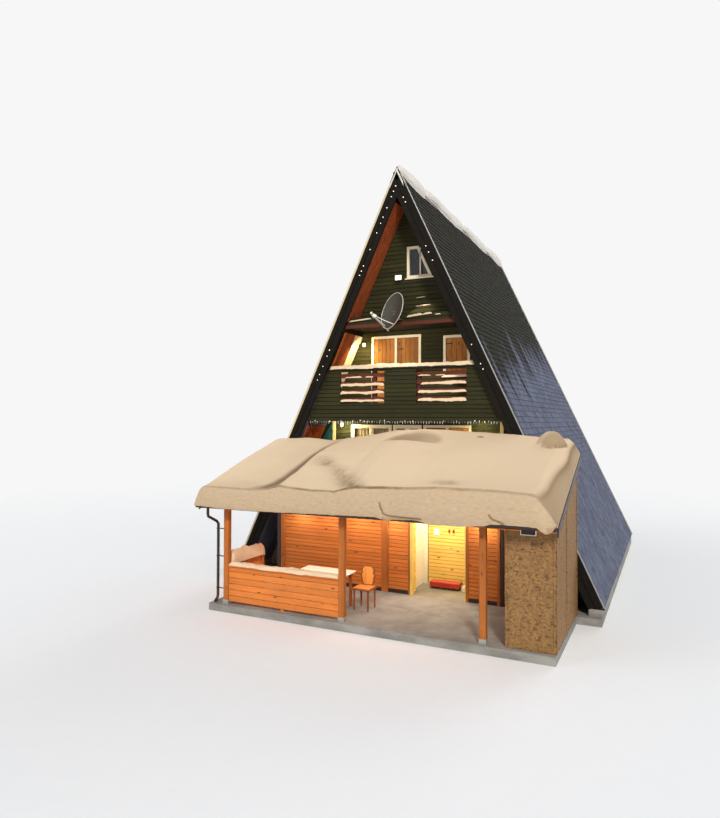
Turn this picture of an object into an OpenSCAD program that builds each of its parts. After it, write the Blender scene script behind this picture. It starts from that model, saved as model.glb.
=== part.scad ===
// A-frame cabin on three levels with a lean-to porch, after a winter's snowfall.
// Millimetres, +Z up. The origin is on the ground, on the centre line of the house,
// under the front edge of the steep roof. The porch stands towards -Y.

/* [House] */
// Height of the ridge above the ground
ridge_h = 10110; // [9000:50:12000]
// Slope of the steep roof, in degrees
roof_pitch = 65.1; // [60:0.1:68]
// Length of the ridge from front to rear
house_len = 9770; // [8000:50:12000]
// Thickness of the steep roof, square to its slope
roof_t = 250; // [150:10:300]
// Height of the concrete strip that carries each foot of the roof
strip_h = 300; // [200:10:500]
// Thickness of the ground slab
slab_t = 150; // [100:10:200]
// How far the ground slab reaches in front of the house, under the porch wall
slab_front = 200; // [180:10:300]
// Thickness of the front and rear walls
wall_t = 150; // [100:10:200]
// Depth of the loggias, from the front edge of the roof to the front walls
front_recess = 1150; // [900:10:1400]
// Overhang of the roof in front of the top gable
gable_recess = 620; // [400:10:800]
// Overhang of the roof past the rear walls
rear_overhang = 600; // [300:10:900]

/* [Levels] */
// Top of the main floor
main_floor_z = 2000; // [1900:10:2100]
// Top of the upper floor, which runs out as the balcony floor
upper_floor_z = 4350; // [4300:10:4450]
// Top of the loft floor, which runs out as the beam over the balcony
loft_floor_z = 6680; // [6650:10:6800]
// Thickness of the upper floors
floor_t = 220; // [160:10:240]

/* [Roof trim] */
// Width of the barge boards, square to the slope
barge_w = 270; // [200:10:320]
// Thickness of the barge boards
barge_t = 40; // [25:5:60]
// Height of the verge lip over the roof, square to the slope
verge_lip = 35; // [20:5:60]
// Width of each leg of the ridge capping
ridge_leg = 240; // [150:10:300]
// Thickness of the ridge capping
ridge_cap_t = 25; // [15:5:40]

/* [Balcony] */
// Height of the balcony front above the balcony floor
parapet_h = 1040; // [1020:10:1200]
// Thickness of the balcony front
parapet_t = 50; // [40:5:80]
// Distance of the balcony front behind the edge of the roof
parapet_y = 100; // [60:10:200]
// Depth of the capping board
cap_w = 150; // [120:10:200]
// Thickness of the capping board
cap_t = 40; // [30:5:60]
// Height of one slat in the openings of the balcony front
slat_h = 95; // [60:5:120]
// Number of slats in each opening
slat_count = 4; // [3:1:5]

// Height of the slatted openings' lower edge above the balcony floor
slat_sill = 220; // [150:10:300]
// Height of the slatted openings
slat_open_h = 780; // [600:10:820]

/* [Windows] */
// Height of the window sills above each floor
sill_h = 900; // [700:10:1000]
// Height of the long windows' sills above each floor
low_sill_h = 60; // [40:5:120]
// Distance of the main windows' heads below the upper floor
main_lintel = 310; // [280:10:450]
// Distance of the upper windows' heads below the loft floor
upper_lintel = 350; // [280:10:500]
// Distance of the small upper window's head below the loft floor
small_lintel = 420; // [350:10:500]
// Width of a window frame's members
frame_w = 65; // [45:5:90]
// Depth of a window frame
frame_d = 90; // [60:5:120]
// How far a window frame stands out of the wall
frame_out = 20; // [10:5:40]
// Thickness of the glass
glass_t = 20; // [10:2:30]
// Thickness of a shutter
shutter_t = 25; // [18:1:40]

/* [Porch] */
// Distance of the porch roof's left edge inside the foot of the steep roof
porch_inset_left = 1095; // [950:5:1250]
// Distance of the porch roof's right edge inside the foot of the steep roof
porch_inset_right = 445; // [300:5:550]
// Distance of the beam ends and side walls inside the porch roof's edges
side_in = 60; // [40:5:80]
// Distance of the eave in front of the house
eave_y = 2900; // [2600:10:3200]
// Height of the porch roof at the eave
eave_z = 2360; // [2300:10:2450]
// Slope of the porch roof, in degrees
porch_pitch = 20.8; // [18:0.1:22]
// Side of a square porch post
post_w = 125; // [100:5:150]
// Distance of the posts' middle in front of the house
post_y = 2600; // [2400:10:2650]
// Depth of the beam over the posts
beam_h = 120; // [100:10:150]
// Depth of a porch rafter
rafter_h = 70; // [60:5:100]
// Width of a porch rafter
rafter_w = 60; // [45:5:80]
// Number of porch rafters
rafter_count = 11; // [7:1:13]
// Thickness of the porch roof boards
deck_t = 30; // [20:2:40]
// Thickness of the timber wall behind the porch
porch_wall_t = 118; // [100:2:118]
// Thickness of the fascia board
fascia_t = 25; // [18:1:35]
// Depth of the fascia board
fascia_h = 120; // [110:5:150]
// Depth of the verge boards on the porch roof's sides
verge_h = 150; // [120:10:170]
// Radius of the gutter
gutter_r = 62; // [50:1:75]
// Drop of the gutter's rim below the edge of the roof
gutter_drop = 45; // [30:5:80]
// Radius of the downpipe
pipe_r = 40; // [30:1:50]
// Height of the balustrade above the porch floor
rail_h = 850; // [800:10:1000]
// Width of the balustrade's capping
rail_w = 120; // [90:5:150]
// Length of the balustrade on the left side
side_rail_l = 1290; // [900:10:1500]
// Thickness of the strand board panels
panel_t = 40; // [25:1:50]

/* [Entrance] */
// Left side of the entrance recess
recess_x0 = 400; // [300:10:500]
// Right side of the entrance recess
recess_x1 = 1725; // [1500:10:1900]
// Height of the entrance recess over the porch floor
recess_h = 2250; // [2150:10:2350]
// Thickness of the boarding at the back of the recess
lining_t = 100; // [60:5:120]
// Thickness of the side walls of the recess
recess_wall_t = 120; // [100:5:150]
// Width of the door leaf
door_w = 770; // [700:10:780]
// Height of the door leaf
door_h = 1980; // [1900:10:2000]
// Thickness of the door leaf
door_t = 42; // [36:1:50]
// Running clearance round the door leaf
door_gap = 6; // [5:1:8]
// Width of the door frame's members
door_frame_w = 60; // [45:5:70]

/* [Snow] */
// Depth of the snow on the porch roof
snow_t = 440; // [300:10:520]
// Overhang of the snow past the eave
snow_lip = 150; // [80:10:220]
// Depth of the snow on the balcony capping
cap_snow_t = 90; // [50:5:130]
// Depth of the snow on the balustrade's front and side
rail_snow_t = 70; // [40:5:120]
side_rail_snow_t = 240; // [150:10:300]
// Depth of the snow along the ridge
ridge_snow_t = 150; // [80:10:220]
// Width of the snow on each side of the ridge
ridge_snow_w = 330; // [250:10:420]

/* [Furniture] */
// Length of the table
table_l = 1170; // [900:10:1300]
// Depth of the table
table_d = 750; // [600:10:800]
// Height of the table
table_h = 750; // [700:10:780]
// Width of the chair
chair_w = 420; // [380:10:480]
// Depth of the chair
chair_d = 430; // [380:10:480]
// Height of the chair's seat
chair_seat_h = 460; // [420:5:480]
// Height of the chair's back
chair_back_h = 880; // [800:10:1000]

/* [Hidden] */

// Clearance of pieces that lie against each other
seat = 0.3;
// Overlap of cutting shapes past the faces that they cut
cut = 10;

run = 1 / tan(roof_pitch);
porch_rise = tan(porch_pitch);
wall_y0 = front_recess;
wall_y1 = front_recess + wall_t;
rear_y1 = house_len - rear_overhang;
rear_y0 = rear_y1 - wall_t;
beam_y = parapet_y;

// Half the width of the house at height z, outside and inside the roof
function half_out(z) = (ridge_h - z) * run;
function half_in(z, more = 0) = half_out(z) - (roof_t + more) / sin(roof_pitch);

// Edges and width of the porch roof, and a place at a share of its width
porch_x0 = porch_inset_left - half_out(strip_h);
porch_x1 = half_out(strip_h) - porch_inset_right;
porch_w = porch_x1 - porch_x0;
function porch_at(share) = porch_x0 + share * porch_w;

// Height of the porch roof's upper side at a distance y from the house, y < 0 in front
function porch_top(y) = eave_z + (y + eave_y) * porch_rise;
function porch_under(y) = porch_top(y) - (deck_t + rafter_h) / cos(porch_pitch);

// An outline in x and z, drawn out from y0 to y1
module from_to_y(y0, y1) {
    translate([0, y1, 0]) rotate([90, 0, 0]) linear_extrude(height = y1 - y0) children();
}

// An outline in y and z, drawn out from x0 to x1
module from_to_x(x0, x1) {
    translate([x0, 0, 0]) rotate([90, 0, 90]) linear_extrude(height = x1 - x0) children();
}

// A box between two corners
module block(a, b) {
    translate(a) cube(b - a);
}

// The outline of a piece that fills the width between the roof slopes
module between_roofs(z0, z1, inset = 0) {
    low = half_in(z0, inset + seat);
    high = half_in(z1, inset + seat);
    polygon([[-low, z0], [low, z0], [high, z1], [-high, z1]]);
}

module gable_outline(z0) {
    polygon([[-half_in(z0, seat), z0], [half_in(z0, seat), z0],
        [0, ridge_h - (roof_t + seat) / cos(roof_pitch)]]);
}

// A window is [left, right, sill, head, number of leaves]
module window_holes(windows) {
    for (w = windows) translate([w[0], w[2]]) square([w[1] - w[0], w[3] - w[2]]);
}

// Its left and right are given as shares of the half width between the roofs at its head
function window_at(left, right, sill, head, leaves) =
    [left * half_in(head), right * half_in(head), sill, head, leaves];

main_head = upper_floor_z - main_lintel;
main_sill = main_floor_z + sill_h;
upper_head = loft_floor_z - upper_lintel;
upper_sill = upper_floor_z + sill_h;
main_windows = [window_at(-0.704, -0.246, main_sill, main_head, 2),
    window_at(-0.232, 0.075, main_floor_z + low_sill_h, main_head, 2),
    window_at(0.092, 0.578, main_sill, main_head, 2)];
upper_windows = [window_at(-0.811, 0.115, upper_floor_z + low_sill_h, upper_head, 2),
    window_at(0.5, 0.95, upper_sill, loft_floor_z - small_lintel, 1)];
rear_main_windows = [window_at(-0.75, -0.35, main_sill, main_head, 2),
    window_at(0.35, 0.75, main_sill, main_head, 2)];
rear_upper_windows = [window_at(-0.47, 0.47, upper_sill, upper_head, 2)];

// The slanted window in the top gable, by shares of the gable's height and half width
gable_top = ridge_h - roof_t / cos(roof_pitch);
gable_sill = loft_floor_z + 0.338 * (gable_top - loft_floor_z);
gable_head = loft_floor_z + 0.613 * (gable_top - loft_floor_z);
gable_window = [[0, gable_sill], [0.758 * half_in(gable_sill), gable_sill],
    [0.589 * half_in(gable_head), gable_head], [0, gable_head]];

module gable_window_outline(inset) {
    offset(delta = -inset) polygon(gable_window);
}

// Levels
foot_in = half_in(strip_h);
foot_out = half_out(strip_h);

module house_slab() {
    color("gray") block([-foot_out, -slab_front, 0], [foot_out, house_len + barge_t, slab_t]);
}

module foot_strips() {
    color("gray") for (side = [-1, 1])
        block([min(side * foot_out, side * foot_in), -barge_t, slab_t + seat],
            [max(side * foot_out, side * foot_in), house_len + barge_t, strip_h]);
}

// The porch floor reaches a little past the posts, and past the side panel
floor_margin = 150;
floor_lip = 10;

module porch_floor() {
    color("darkgray") block([porch_x0 + floor_margin, -post_y - floor_margin, 0],
        [porch_x1 - side_in + floor_lip, -slab_front - seat, slab_t]);
}

module storey_floor(top, y0) {
    color("burlywood") from_to_y(y0, rear_y1) between_roofs(top - floor_t, top);
}

module main_floor() { storey_floor(main_floor_z, wall_y0); }

module upper_floor() { storey_floor(upper_floor_z, beam_y + parapet_t + seat); }

module loft_floor() { storey_floor(loft_floor_z, beam_y); }

// Steep roof
module roof_right() {
    color("#1d1c1a") from_to_y(0, house_len) polygon([
        [0, ridge_h], [half_out(strip_h), strip_h + seat],
        [half_in(strip_h), strip_h + seat], [0, ridge_h - roof_t / cos(roof_pitch)]]);
}

module roof_left() { mirror([1, 0, 0]) roof_right(); }

// An inverted V that follows the roof, between two distances from its surface
module roof_band(above, below, foot) {
    out_x = half_out(foot) + above / sin(roof_pitch);
    in_x = half_out(foot) - below / sin(roof_pitch);
    polygon([[-out_x, foot], [0, ridge_h + above / cos(roof_pitch)], [out_x, foot],
        [in_x, foot], [0, ridge_h - below / cos(roof_pitch)], [-in_x, foot]]);
}

// The two boards of a gable meet in an upright joint under the ridge
module barge() {
    for (side = [0, 1]) mirror([side, 0, 0]) intersection() {
        roof_band(verge_lip, barge_w, strip_h + seat);
        translate([seat / 2, 0]) square([2 * foot_out, 2 * ridge_h]);
    }
}

module front_barge() { color("#17140f") from_to_y(-barge_t, -seat) barge(); }

module rear_barge() { color("#17140f") from_to_y(house_len + seat, house_len + barge_t) barge(); }

module ridge_cap() {
    foot = ridge_h - ridge_leg * sin(roof_pitch);
    color("#22211f") from_to_y(0, house_len) roof_band(ridge_cap_t, -seat, foot);
}

// Front and rear walls
module storey_wall(z0, z1, y0, windows) {
    color("#2c3320") from_to_y(y0, y0 + wall_t) difference() {
        between_roofs(z0, z1);
        window_holes(windows);
    }
}

// The lowest walls stand on the ground slab between the concrete strips
module lower_wall(y0) {
    z1 = main_floor_z - floor_t;
    foot = half_in(strip_h, seat);
    color("#8d8a82") from_to_y(y0, y0 + wall_t) polygon([[-foot, slab_t], [foot, slab_t],
        [foot, strip_h], [half_in(z1, seat), z1], [-half_in(z1, seat), z1], [-foot, strip_h]]);
}

module lower_front_wall() { lower_wall(wall_y0); }
module lower_rear_wall() { lower_wall(rear_y0); }
module main_front_wall() {
    storey_wall(main_floor_z, upper_floor_z - floor_t, wall_y0, main_windows);
}
module upper_front_wall() {
    storey_wall(upper_floor_z, loft_floor_z - floor_t, wall_y0, upper_windows);
}
module main_rear_wall() {
    storey_wall(main_floor_z, upper_floor_z - floor_t, rear_y0, rear_main_windows);
}
module upper_rear_wall() {
    storey_wall(upper_floor_z, loft_floor_z - floor_t, rear_y0, rear_upper_windows);
}

module gable_wall(y0) {
    color("#2c3320") from_to_y(y0, y0 + wall_t) difference() {
        gable_outline(loft_floor_z);
        gable_window_outline(0);
    }
}

module front_gable_wall() { gable_wall(gable_recess); }
module rear_gable_wall() { gable_wall(rear_y0); }

// Balcony
slat_z0 = upper_floor_z + slat_sill;
slat_z1 = slat_z0 + slat_open_h;
slat_bays = [[-0.812 * half_in(slat_z1), -0.194 * half_in(slat_z1)],
    [0.23 * half_in(slat_z1), 0.86 * half_in(slat_z1)]];
slat_in = 10;

module balcony_parapet() {
    color("#2c3320") from_to_y(parapet_y, parapet_y + parapet_t) difference() {
        between_roofs(upper_floor_z - floor_t, upper_floor_z + parapet_h);
        for (b = slat_bays) translate([b[0], slat_z0]) square([b[1] - b[0], slat_z1 - slat_z0]);
    }
}

module balcony_slats() {
    step = (slat_z1 - slat_z0) / slat_count;
    color("#7a3a22") for (b = slat_bays) for (i = [0 : slat_count - 1])
        block([b[0] + seat, parapet_y + slat_in, slat_z0 + i * step + (step - slat_h) / 2],
            [b[1] - seat, parapet_y + parapet_t - slat_in, slat_z0 + i * step + (step + slat_h) / 2]);
}

module balcony_cap() {
    z = upper_floor_z + parapet_h;
    mid = parapet_y + parapet_t / 2;
    color("#4a3a28") from_to_y(mid - cap_w / 2, mid + cap_w / 2) between_roofs(z, z + cap_t);
}

// Windows: frames with a mullion between leaves, glass and closed shutters
module leaf_openings(w) {
    wide = (w[1] - w[0] - frame_w * (w[4] + 1)) / w[4];
    for (i = [0 : w[4] - 1]) translate([w[0] + frame_w + i * (wide + frame_w), w[2] + frame_w])
        square([wide, w[3] - w[2] - 2 * frame_w]);
}

module window_frame(w) {
    difference() {
        translate([w[0] + seat, w[2] + seat])
            square([w[1] - w[0] - 2 * seat, w[3] - w[2] - 2 * seat]);
        leaf_openings(w);
    }
}

module gable_frame() {
    difference() {
        gable_window_outline(seat);
        gable_window_outline(frame_w);
    }
}

module front_window_frames() {
    color("ivory") {
        from_to_y(wall_y0 - frame_out, wall_y0 - frame_out + frame_d) for (w = concat(main_windows, upper_windows))
            window_frame(w);
        from_to_y(gable_recess - frame_out, gable_recess - frame_out + frame_d) gable_frame();
    }
}

// Distance of the glass behind the face of the wall
glass_in = 40;

module front_window_glass() {
    color("lightblue", 0.4) {
        from_to_y(wall_y0 + glass_in, wall_y0 + glass_in + glass_t) offset(delta = -seat)
            for (w = concat(main_windows, upper_windows)) leaf_openings(w);
        from_to_y(gable_recess + glass_in, gable_recess + glass_in + glass_t)
            gable_window_outline(frame_w + seat);
    }
}

module front_shutters() {
    color("#a5672f") from_to_y(wall_y0, wall_y0 + shutter_t) offset(delta = -seat)
        for (w = concat([main_windows[2]], upper_windows)) leaf_openings(w);
}

module rear_window_frames() {
    color("ivory") from_to_y(rear_y1 + frame_out - frame_d, rear_y1 + frame_out) {
        for (w = concat(rear_main_windows, rear_upper_windows)) window_frame(w);
        gable_frame();
    }
}

module rear_window_glass() {
    color("lightblue", 0.4) from_to_y(rear_y1 - glass_in - glass_t, rear_y1 - glass_in) offset(delta = -seat) {
        for (w = concat(rear_main_windows, rear_upper_windows)) leaf_openings(w);
        gable_window_outline(frame_w);
    }
}

// Dish, floodlight and wall lamps
// The dish is cut by a round cylinder from a paraboloid whose axis passes its lower rim
dish_r = 420;
dish_focus = 500;
dish_t = 8;
dish_rings = 8;
dish_turn = -32;
dish_tilt = 52;
dish_rim = 10;
dish_margin = 60;
dish_reach = 2 * dish_r + dish_margin;
dish_drop = 390;
dish_foot = [-120, -290, loft_floor_z - dish_drop];

function bowl(r) = r * r / (4 * dish_focus);
function ring(i) = dish_reach * i / dish_rings;
function tilted(p) = [p[0], p[1] * cos(dish_tilt) - p[2] * sin(dish_tilt),
    p[1] * sin(dish_tilt) + p[2] * cos(dish_tilt)];
function turned(p) = [p[0] * cos(dish_turn) - p[1] * sin(dish_turn),
    p[0] * sin(dish_turn) + p[1] * cos(dish_turn), p[2]];

module at_dish() {
    translate(dish_foot) rotate([0, 0, dish_turn]) rotate([dish_tilt, 0, 0]) children();
}

module satellite_dish() {
    inner = [for (i = [0 : dish_rings]) [ring(i), bowl(ring(i)) + dish_t]];
    outer = [for (i = [dish_rings : -1 : 0]) [ring(i), bowl(ring(i))]];
    color("#5b5a50") at_dish() intersection() {
        rotate_extrude($fn = 48) polygon(concat(inner, outer));
        translate([0, dish_r, -cut])
            cylinder(r = dish_r - dish_rim, h = bowl(dish_reach) + 2 * cut, $fn = 48);
    }
}

module rod(a, b, r) {
    d = b - a;
    len = norm(d);
    translate(a) rotate([0, acos(d[2] / len), atan2(d[1], d[0])]) cylinder(r = r, h = len, $fn = 20);
}

// Wall plate and mast on the beam, the boss that follows the back of the dish,
// and the arm that passes under its rim and holds the feed at the focus
boss_r = 45;
boss_z = 28;
boss_h = 110;
boss_in = 18;
arm_r = 13;
arm_foot = [0, -26, -34];
arm_in = 6;
mast_r = 20;
mast_off = 60;
mast_foot = 50;
plate_h = 160;
plate_t = 12;
feed_r = 32;
feed_h = 110;
feed_y = -20;
feed_drop = 40;

module dish_bracket() {
    plate_z = loft_floor_z - floor_t / 2;
    boss_at = dish_foot + turned(tilted([0, dish_r, boss_z]));
    mast = boss_at + [0, mast_off, 0];
    color("silver") {
        block([mast[0] - plate_h / 2, beam_y - plate_t, plate_z - plate_h / 2],
            [mast[0] + plate_h / 2, beam_y - seat, plate_z + plate_h / 2]);
        block([mast[0] - mast_r, mast[1], plate_z - mast_r],
            [mast[0] + mast_r, beam_y - plate_t / 2, plate_z + mast_r]);
        translate([mast[0], mast[1], plate_z - mast_foot])
            cylinder(r = mast_r, h = mast[2] - plate_z + mast_foot + mast_r, $fn = 24);
        rod(mast, boss_at, arm_r);
        at_dish() {
            difference() {
                translate([0, dish_r, boss_z - boss_in]) cylinder(r = boss_r, h = boss_h, $fn = 24);
                translate([0, 0, -2 * seat]) rotate_extrude($fn = 48)
                    polygon(concat([for (i = [2 : 5]) [ring(i), bowl(ring(i))]],
                        [[ring(5), dish_r], [ring(2), dish_r]]));
            }
            rod(arm_foot, [0, dish_r, boss_z - arm_in], arm_r);
            rod(arm_foot, [0, 2 * feed_y, dish_focus + feed_y], arm_r);
            translate(arm_foot) sphere(r = arm_r, $fn = 20);
            translate([0, feed_y, dish_focus - feed_drop]) cylinder(r = feed_r, h = feed_h, $fn = 24);
        }
    }
}

flood_w = 180;
flood_h = 140;
lamp_w = 100;
lamp_h = 140;
lamp_d = 90;
panel_lamp_w = 270;
panel_lamp_h = 110;
flood_off = 20;
flood_up = 30;
balcony_lamp_off = 190;
balcony_lamp_drop = 205;
main_lamp_off = 250;
panel_lamp_x = 425;

module lamp(x, y, z, w, h) {
    block([x - w / 2, y - lamp_d, z - h / 2], [x + w / 2, y - seat, z + h / 2]);
}

module lamps() {
    color("white") {
        lamp(-flood_w - flood_off, gable_recess, gable_sill + flood_up, flood_w, flood_h);
        lamp(upper_windows[0][0] - balcony_lamp_off, wall_y0, upper_head - balcony_lamp_drop, lamp_w, lamp_h);
        lamp(main_windows[0][0] - main_lamp_off, wall_y0, main_head, lamp_w, lamp_h);
        lamp(panel_x0 + panel_lamp_x, -post_y - post_w / 2, beam_z0,
            panel_lamp_w, panel_lamp_h);
    }
}

// Porch
post_xs = [porch_at(0.07), porch_at(0.445), porch_at(0.823)];
beam_z1 = porch_under(-post_y - post_w / 2);
beam_z0 = beam_z1 - beam_h;
wall_front = -barge_t - seat - porch_wall_t;
wall_back = -barge_t - seat;
wall_top = porch_under(wall_front);
deck_gap = 5;
deck_back = wall_back - deck_gap;
hall_z1 = porch_top(deck_back);
hall_t = 60;
hall_y1 = wall_y0 - frame_out - seat;

module porch_posts() {
    color("peru") for (x = post_xs)
        block([x - post_w / 2, -post_y - post_w / 2, slab_t], [x + post_w / 2, -post_y + post_w / 2, beam_z0]);
}

module eave_beam() {
    color("peru") block([porch_x0 + side_in, -post_y - post_w / 2, beam_z0],
        [porch_x1 - side_in, -post_y + post_w / 2, beam_z1]);
}

module slope_strip(y0, y1, up, down) {
    polygon([[y0, porch_top(y0) + up], [y1, porch_top(y1) + up],
        [y1, porch_top(y1) - down], [y0, porch_top(y0) - down]]);
}

deck_down = deck_t / cos(porch_pitch);
rafter_down = (deck_t + rafter_h) / cos(porch_pitch);
rafter_in = 30;

module porch_rafters() {
    first = porch_x0 + side_in;
    pitch = (porch_x1 - side_in - rafter_w - first) / (rafter_count - 1);
    color("sandybrown") for (i = [0 : rafter_count - 1])
        from_to_x(first + i * pitch, first + i * pitch + rafter_w)
            slope_strip(-eave_y + rafter_in, deck_back, -deck_down - seat, rafter_down);
}

module porch_roof() {
    color("#6b4a2c") from_to_x(porch_x0, porch_x1) slope_strip(-eave_y, deck_back, 0, deck_down);
}

module porch_fascia() {
    color("#2b1f16") block([porch_x0, -eave_y - fascia_t, eave_z - fascia_h],
        [porch_x1, -eave_y - seat, eave_z]);
}

module porch_verges() {
    color("#2b1f16") for (x = [porch_x0 - seat - fascia_t, porch_x1 + seat])
        from_to_x(x, x + fascia_t) slope_strip(-eave_y, deck_back, 0, verge_h / cos(porch_pitch));
}

gutter_y = -eave_y - fascia_t - gutter_r - seat;
gutter_z = eave_z - gutter_drop;
gutter_t = 4;

module gutter() {
    color("#33251a") from_to_x(porch_x0, porch_x1) translate([gutter_y, gutter_z]) difference() {
        circle(r = gutter_r, $fn = 32);
        circle(r = gutter_r - gutter_t, $fn = 32);
        translate([-gutter_r - cut, 0]) square([2 * gutter_r + 2 * cut, gutter_r + cut]);
    }
}

// The downpipe leaves the gutter at the left end and bends back to the corner post
elbow_r = pipe_r + 4;
pipe_in = 130;
pipe_drop = 100;
knee_drop = 480;
foot_gap = 60;
clip_t = 30;
clip_w = 40;
clip_hs = [400, 1250];

module downpipe() {
    top = [porch_x0 + pipe_in, gutter_y, gutter_z - gutter_r - seat];
    elbow = top - [0, 0, pipe_drop];
    foot_x = post_xs[0] - post_w / 2 - elbow_r - seat;
    knee = [foot_x, -post_y, gutter_z - knee_drop];
    foot = [foot_x, -post_y, slab_t + foot_gap];
    color("#33251a") {
        rod(elbow, top, pipe_r);
        rod(knee, elbow, pipe_r);
        rod(foot, knee, pipe_r);
        for (p = [elbow, knee]) translate(p) sphere(r = elbow_r, $fn = 24);
        for (h = clip_hs)
            block([foot_x, -post_y - clip_w / 2, slab_t + h],
                [post_xs[0] - post_w / 2 - seat, -post_y + clip_w / 2, slab_t + h + clip_t]);
    }
}

module porch_wall(x0, x1, z0) { block([x0, wall_front, z0], [x1, wall_back, wall_top]); }

// The wall's left end lies inside the porch roof's edge
wall_in = 270;

module porch_wall_left() { color("#c96f2a") porch_wall(porch_x0 + wall_in, recess_x0, slab_t); }
module porch_wall_right() {
    color("#c96f2a") porch_wall(recess_x1, porch_x1 - side_in - panel_t - seat, slab_t);
}
module porch_wall_head() {
    color("#c96f2a") porch_wall(recess_x0 + seat, recess_x1 - seat, slab_t + recess_h);
}

// Entrance recess
sill_t = 10;
door_y0 = wall_y0 - lining_t - door_frame_w - door_w - 2 * door_gap;
door_y1 = wall_y0 - lining_t - door_frame_w;
frame_y0 = door_y0 - door_frame_w;
door_top = slab_t + sill_t + door_h;
ceiling_t = 40;
frame_top = door_top + door_gap + door_frame_w;
recess_under = hall_z1 - hall_t;

module recess_left_wall() {
    color("#e0a04a") block([recess_x0 - recess_wall_t, wall_back + seat, slab_t],
        [recess_x0, frame_y0 - seat, recess_under]);
}

module door_head() {
    color("#e0a04a") block([recess_x0 - recess_wall_t, frame_y0, frame_top + seat],
        [recess_x0, hall_y1, recess_under]);
}

module recess_right_wall() {
    color("#e0a04a") block([recess_x1, wall_back + seat, slab_t],
        [recess_x1 + recess_wall_t, hall_y1, recess_under]);
}

module recess_ceiling() {
    color("#e0a04a") block([recess_x0 + seat, wall_back + seat, slab_t + recess_h],
        [recess_x1 - seat, wall_y0 - lining_t - seat, slab_t + recess_h + ceiling_t]);
}

module recess_back_boards() {
    color("#e9b45a") block([recess_x0 + seat, wall_y0 - lining_t, slab_t],
        [recess_x1 - seat, wall_y0 - seat, slab_t + recess_h + ceiling_t]);
}

// Lift-off hinges: the frame carries the lower knuckles and the door rests on them
hinge_r = 9;
hinge_h = 55;
hinge_x = recess_x0 - recess_wall_t - hinge_r;
hinge_y = door_y1 - door_gap / 2;
hinge_zs = [for (share = [0.125, 0.5, 0.86]) slab_t + share * door_h];
leaf_over = 38;

// Part of each hinge flap past the pin's middle
hinge_flap = 2;

module knuckle(z, side) {
    translate([hinge_x, hinge_y, z]) {
        cylinder(r = hinge_r, h = hinge_h, $fn = 24);
        block([-hinge_flap, min(0, side * leaf_over), 0], [hinge_r, max(0, side * leaf_over), hinge_h]);
    }
}

module door_frame() {
    color("white") {
        translate([recess_x0 - recess_wall_t, 0, 0]) from_to_x(0, recess_wall_t) difference() {
            translate([frame_y0, slab_t])
                square([wall_y0 - lining_t - seat - frame_y0, frame_top - slab_t]);
            translate([door_y0, slab_t - cut])
                square([door_y1 - door_y0, door_top + door_gap - slab_t + cut]);
        }
        for (z = hinge_zs) knuckle(z, 1);
    }
}

// A lever handle on each side of the leaf
lever = [32, 120, 26];
lever_in = 75;
lever_h = 1050;

module entrance_door() {
    x = recess_x0 - recess_wall_t;
    color("whitesmoke") {
        block([x, door_y0 + door_gap, slab_t + sill_t], [x + door_t, door_y1 - door_gap, door_top]);
        for (side = [-1, 1])
            translate([x + door_t / 2 + side * (door_t + lever[0]) / 2, door_y0 + lever_in, slab_t + lever_h])
                cube(lever, center = true);
        for (z = hinge_zs) knuckle(z + hinge_h + seat, -1);
    }
}

module hall_roof() {
    color("#6b4a2c") from_to_y(wall_back, hall_y1) between_roofs(hall_z1 - hall_t, hall_z1, barge_w - roof_t);
}

// Weather panels at the right end of the porch
panel_gap = 400;
panel_x0 = post_xs[2] + panel_gap;

module front_weather_panel() {
    color("tan") block([panel_x0, -post_y - panel_t / 2, slab_t],
        [porch_x1 - side_in - panel_t - seat, -post_y + panel_t / 2, beam_z0 - seat]);
}

module side_weather_panel() {
    x = porch_x1 - side_in - panel_t;
    color("tan") from_to_x(x, x + panel_t) polygon([
        [-post_y - panel_t / 2, slab_t], [wall_back, slab_t], [wall_back, wall_top],
        [-post_y + post_w / 2 + seat, porch_under(-post_y + post_w / 2)],
        [-post_y + post_w / 2 + seat, beam_z0 - seat], [-post_y - panel_t / 2, beam_z0 - seat]]);
}

// Balustrade between the left and middle posts, with a shorter run on the left side
rail_z = slab_t + rail_h;
rail_t = 40;
board_t = 30;
rail_foot = 60;
stub_w = 90;
rail_x0 = post_xs[0] + post_w / 2 + seat;
rail_x1 = post_xs[1] - post_w / 2 - seat;
side_y0 = -post_y + post_w / 2 + seat;
side_y1 = side_y0 + side_rail_l;

module balustrade() {
    x = post_xs[0];
    color("#c96f2a") {
        block([rail_x0, -post_y - rail_w / 2, rail_z - rail_t], [rail_x1, -post_y + rail_w / 2, rail_z]);
        block([rail_x0, -post_y - board_t / 2, slab_t + rail_foot],
            [rail_x1, -post_y + board_t / 2, rail_z - rail_t]);
        block([x - rail_w / 2, side_y0, rail_z - rail_t], [x + rail_w / 2, side_y1, rail_z]);
        block([x - board_t / 2, side_y0, slab_t + rail_foot], [x + board_t / 2, side_y1, rail_z - rail_t]);
        block([x - stub_w / 2, side_y1 - stub_w, slab_t], [x + stub_w / 2, side_y1, rail_z - rail_t]);
    }
}

// Snow: drifted on the porch roof, thicker to the right of the middle and along the eave
snow_side = 20;
snow_cols = 15;
snow_clear = 5;
snow_low = eave_z - gutter_drop + snow_clear;
snow_back = -eave_y - fascia_t - snow_clear;
snow_front = -eave_y - snow_lip;
// Steps of the rounded lip, back from its front and up from its lower edge
lip_steps = [40, 60, 180];
snow_shares = [0.2, 0.4, 0.6, 0.8, 0.96];

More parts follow.
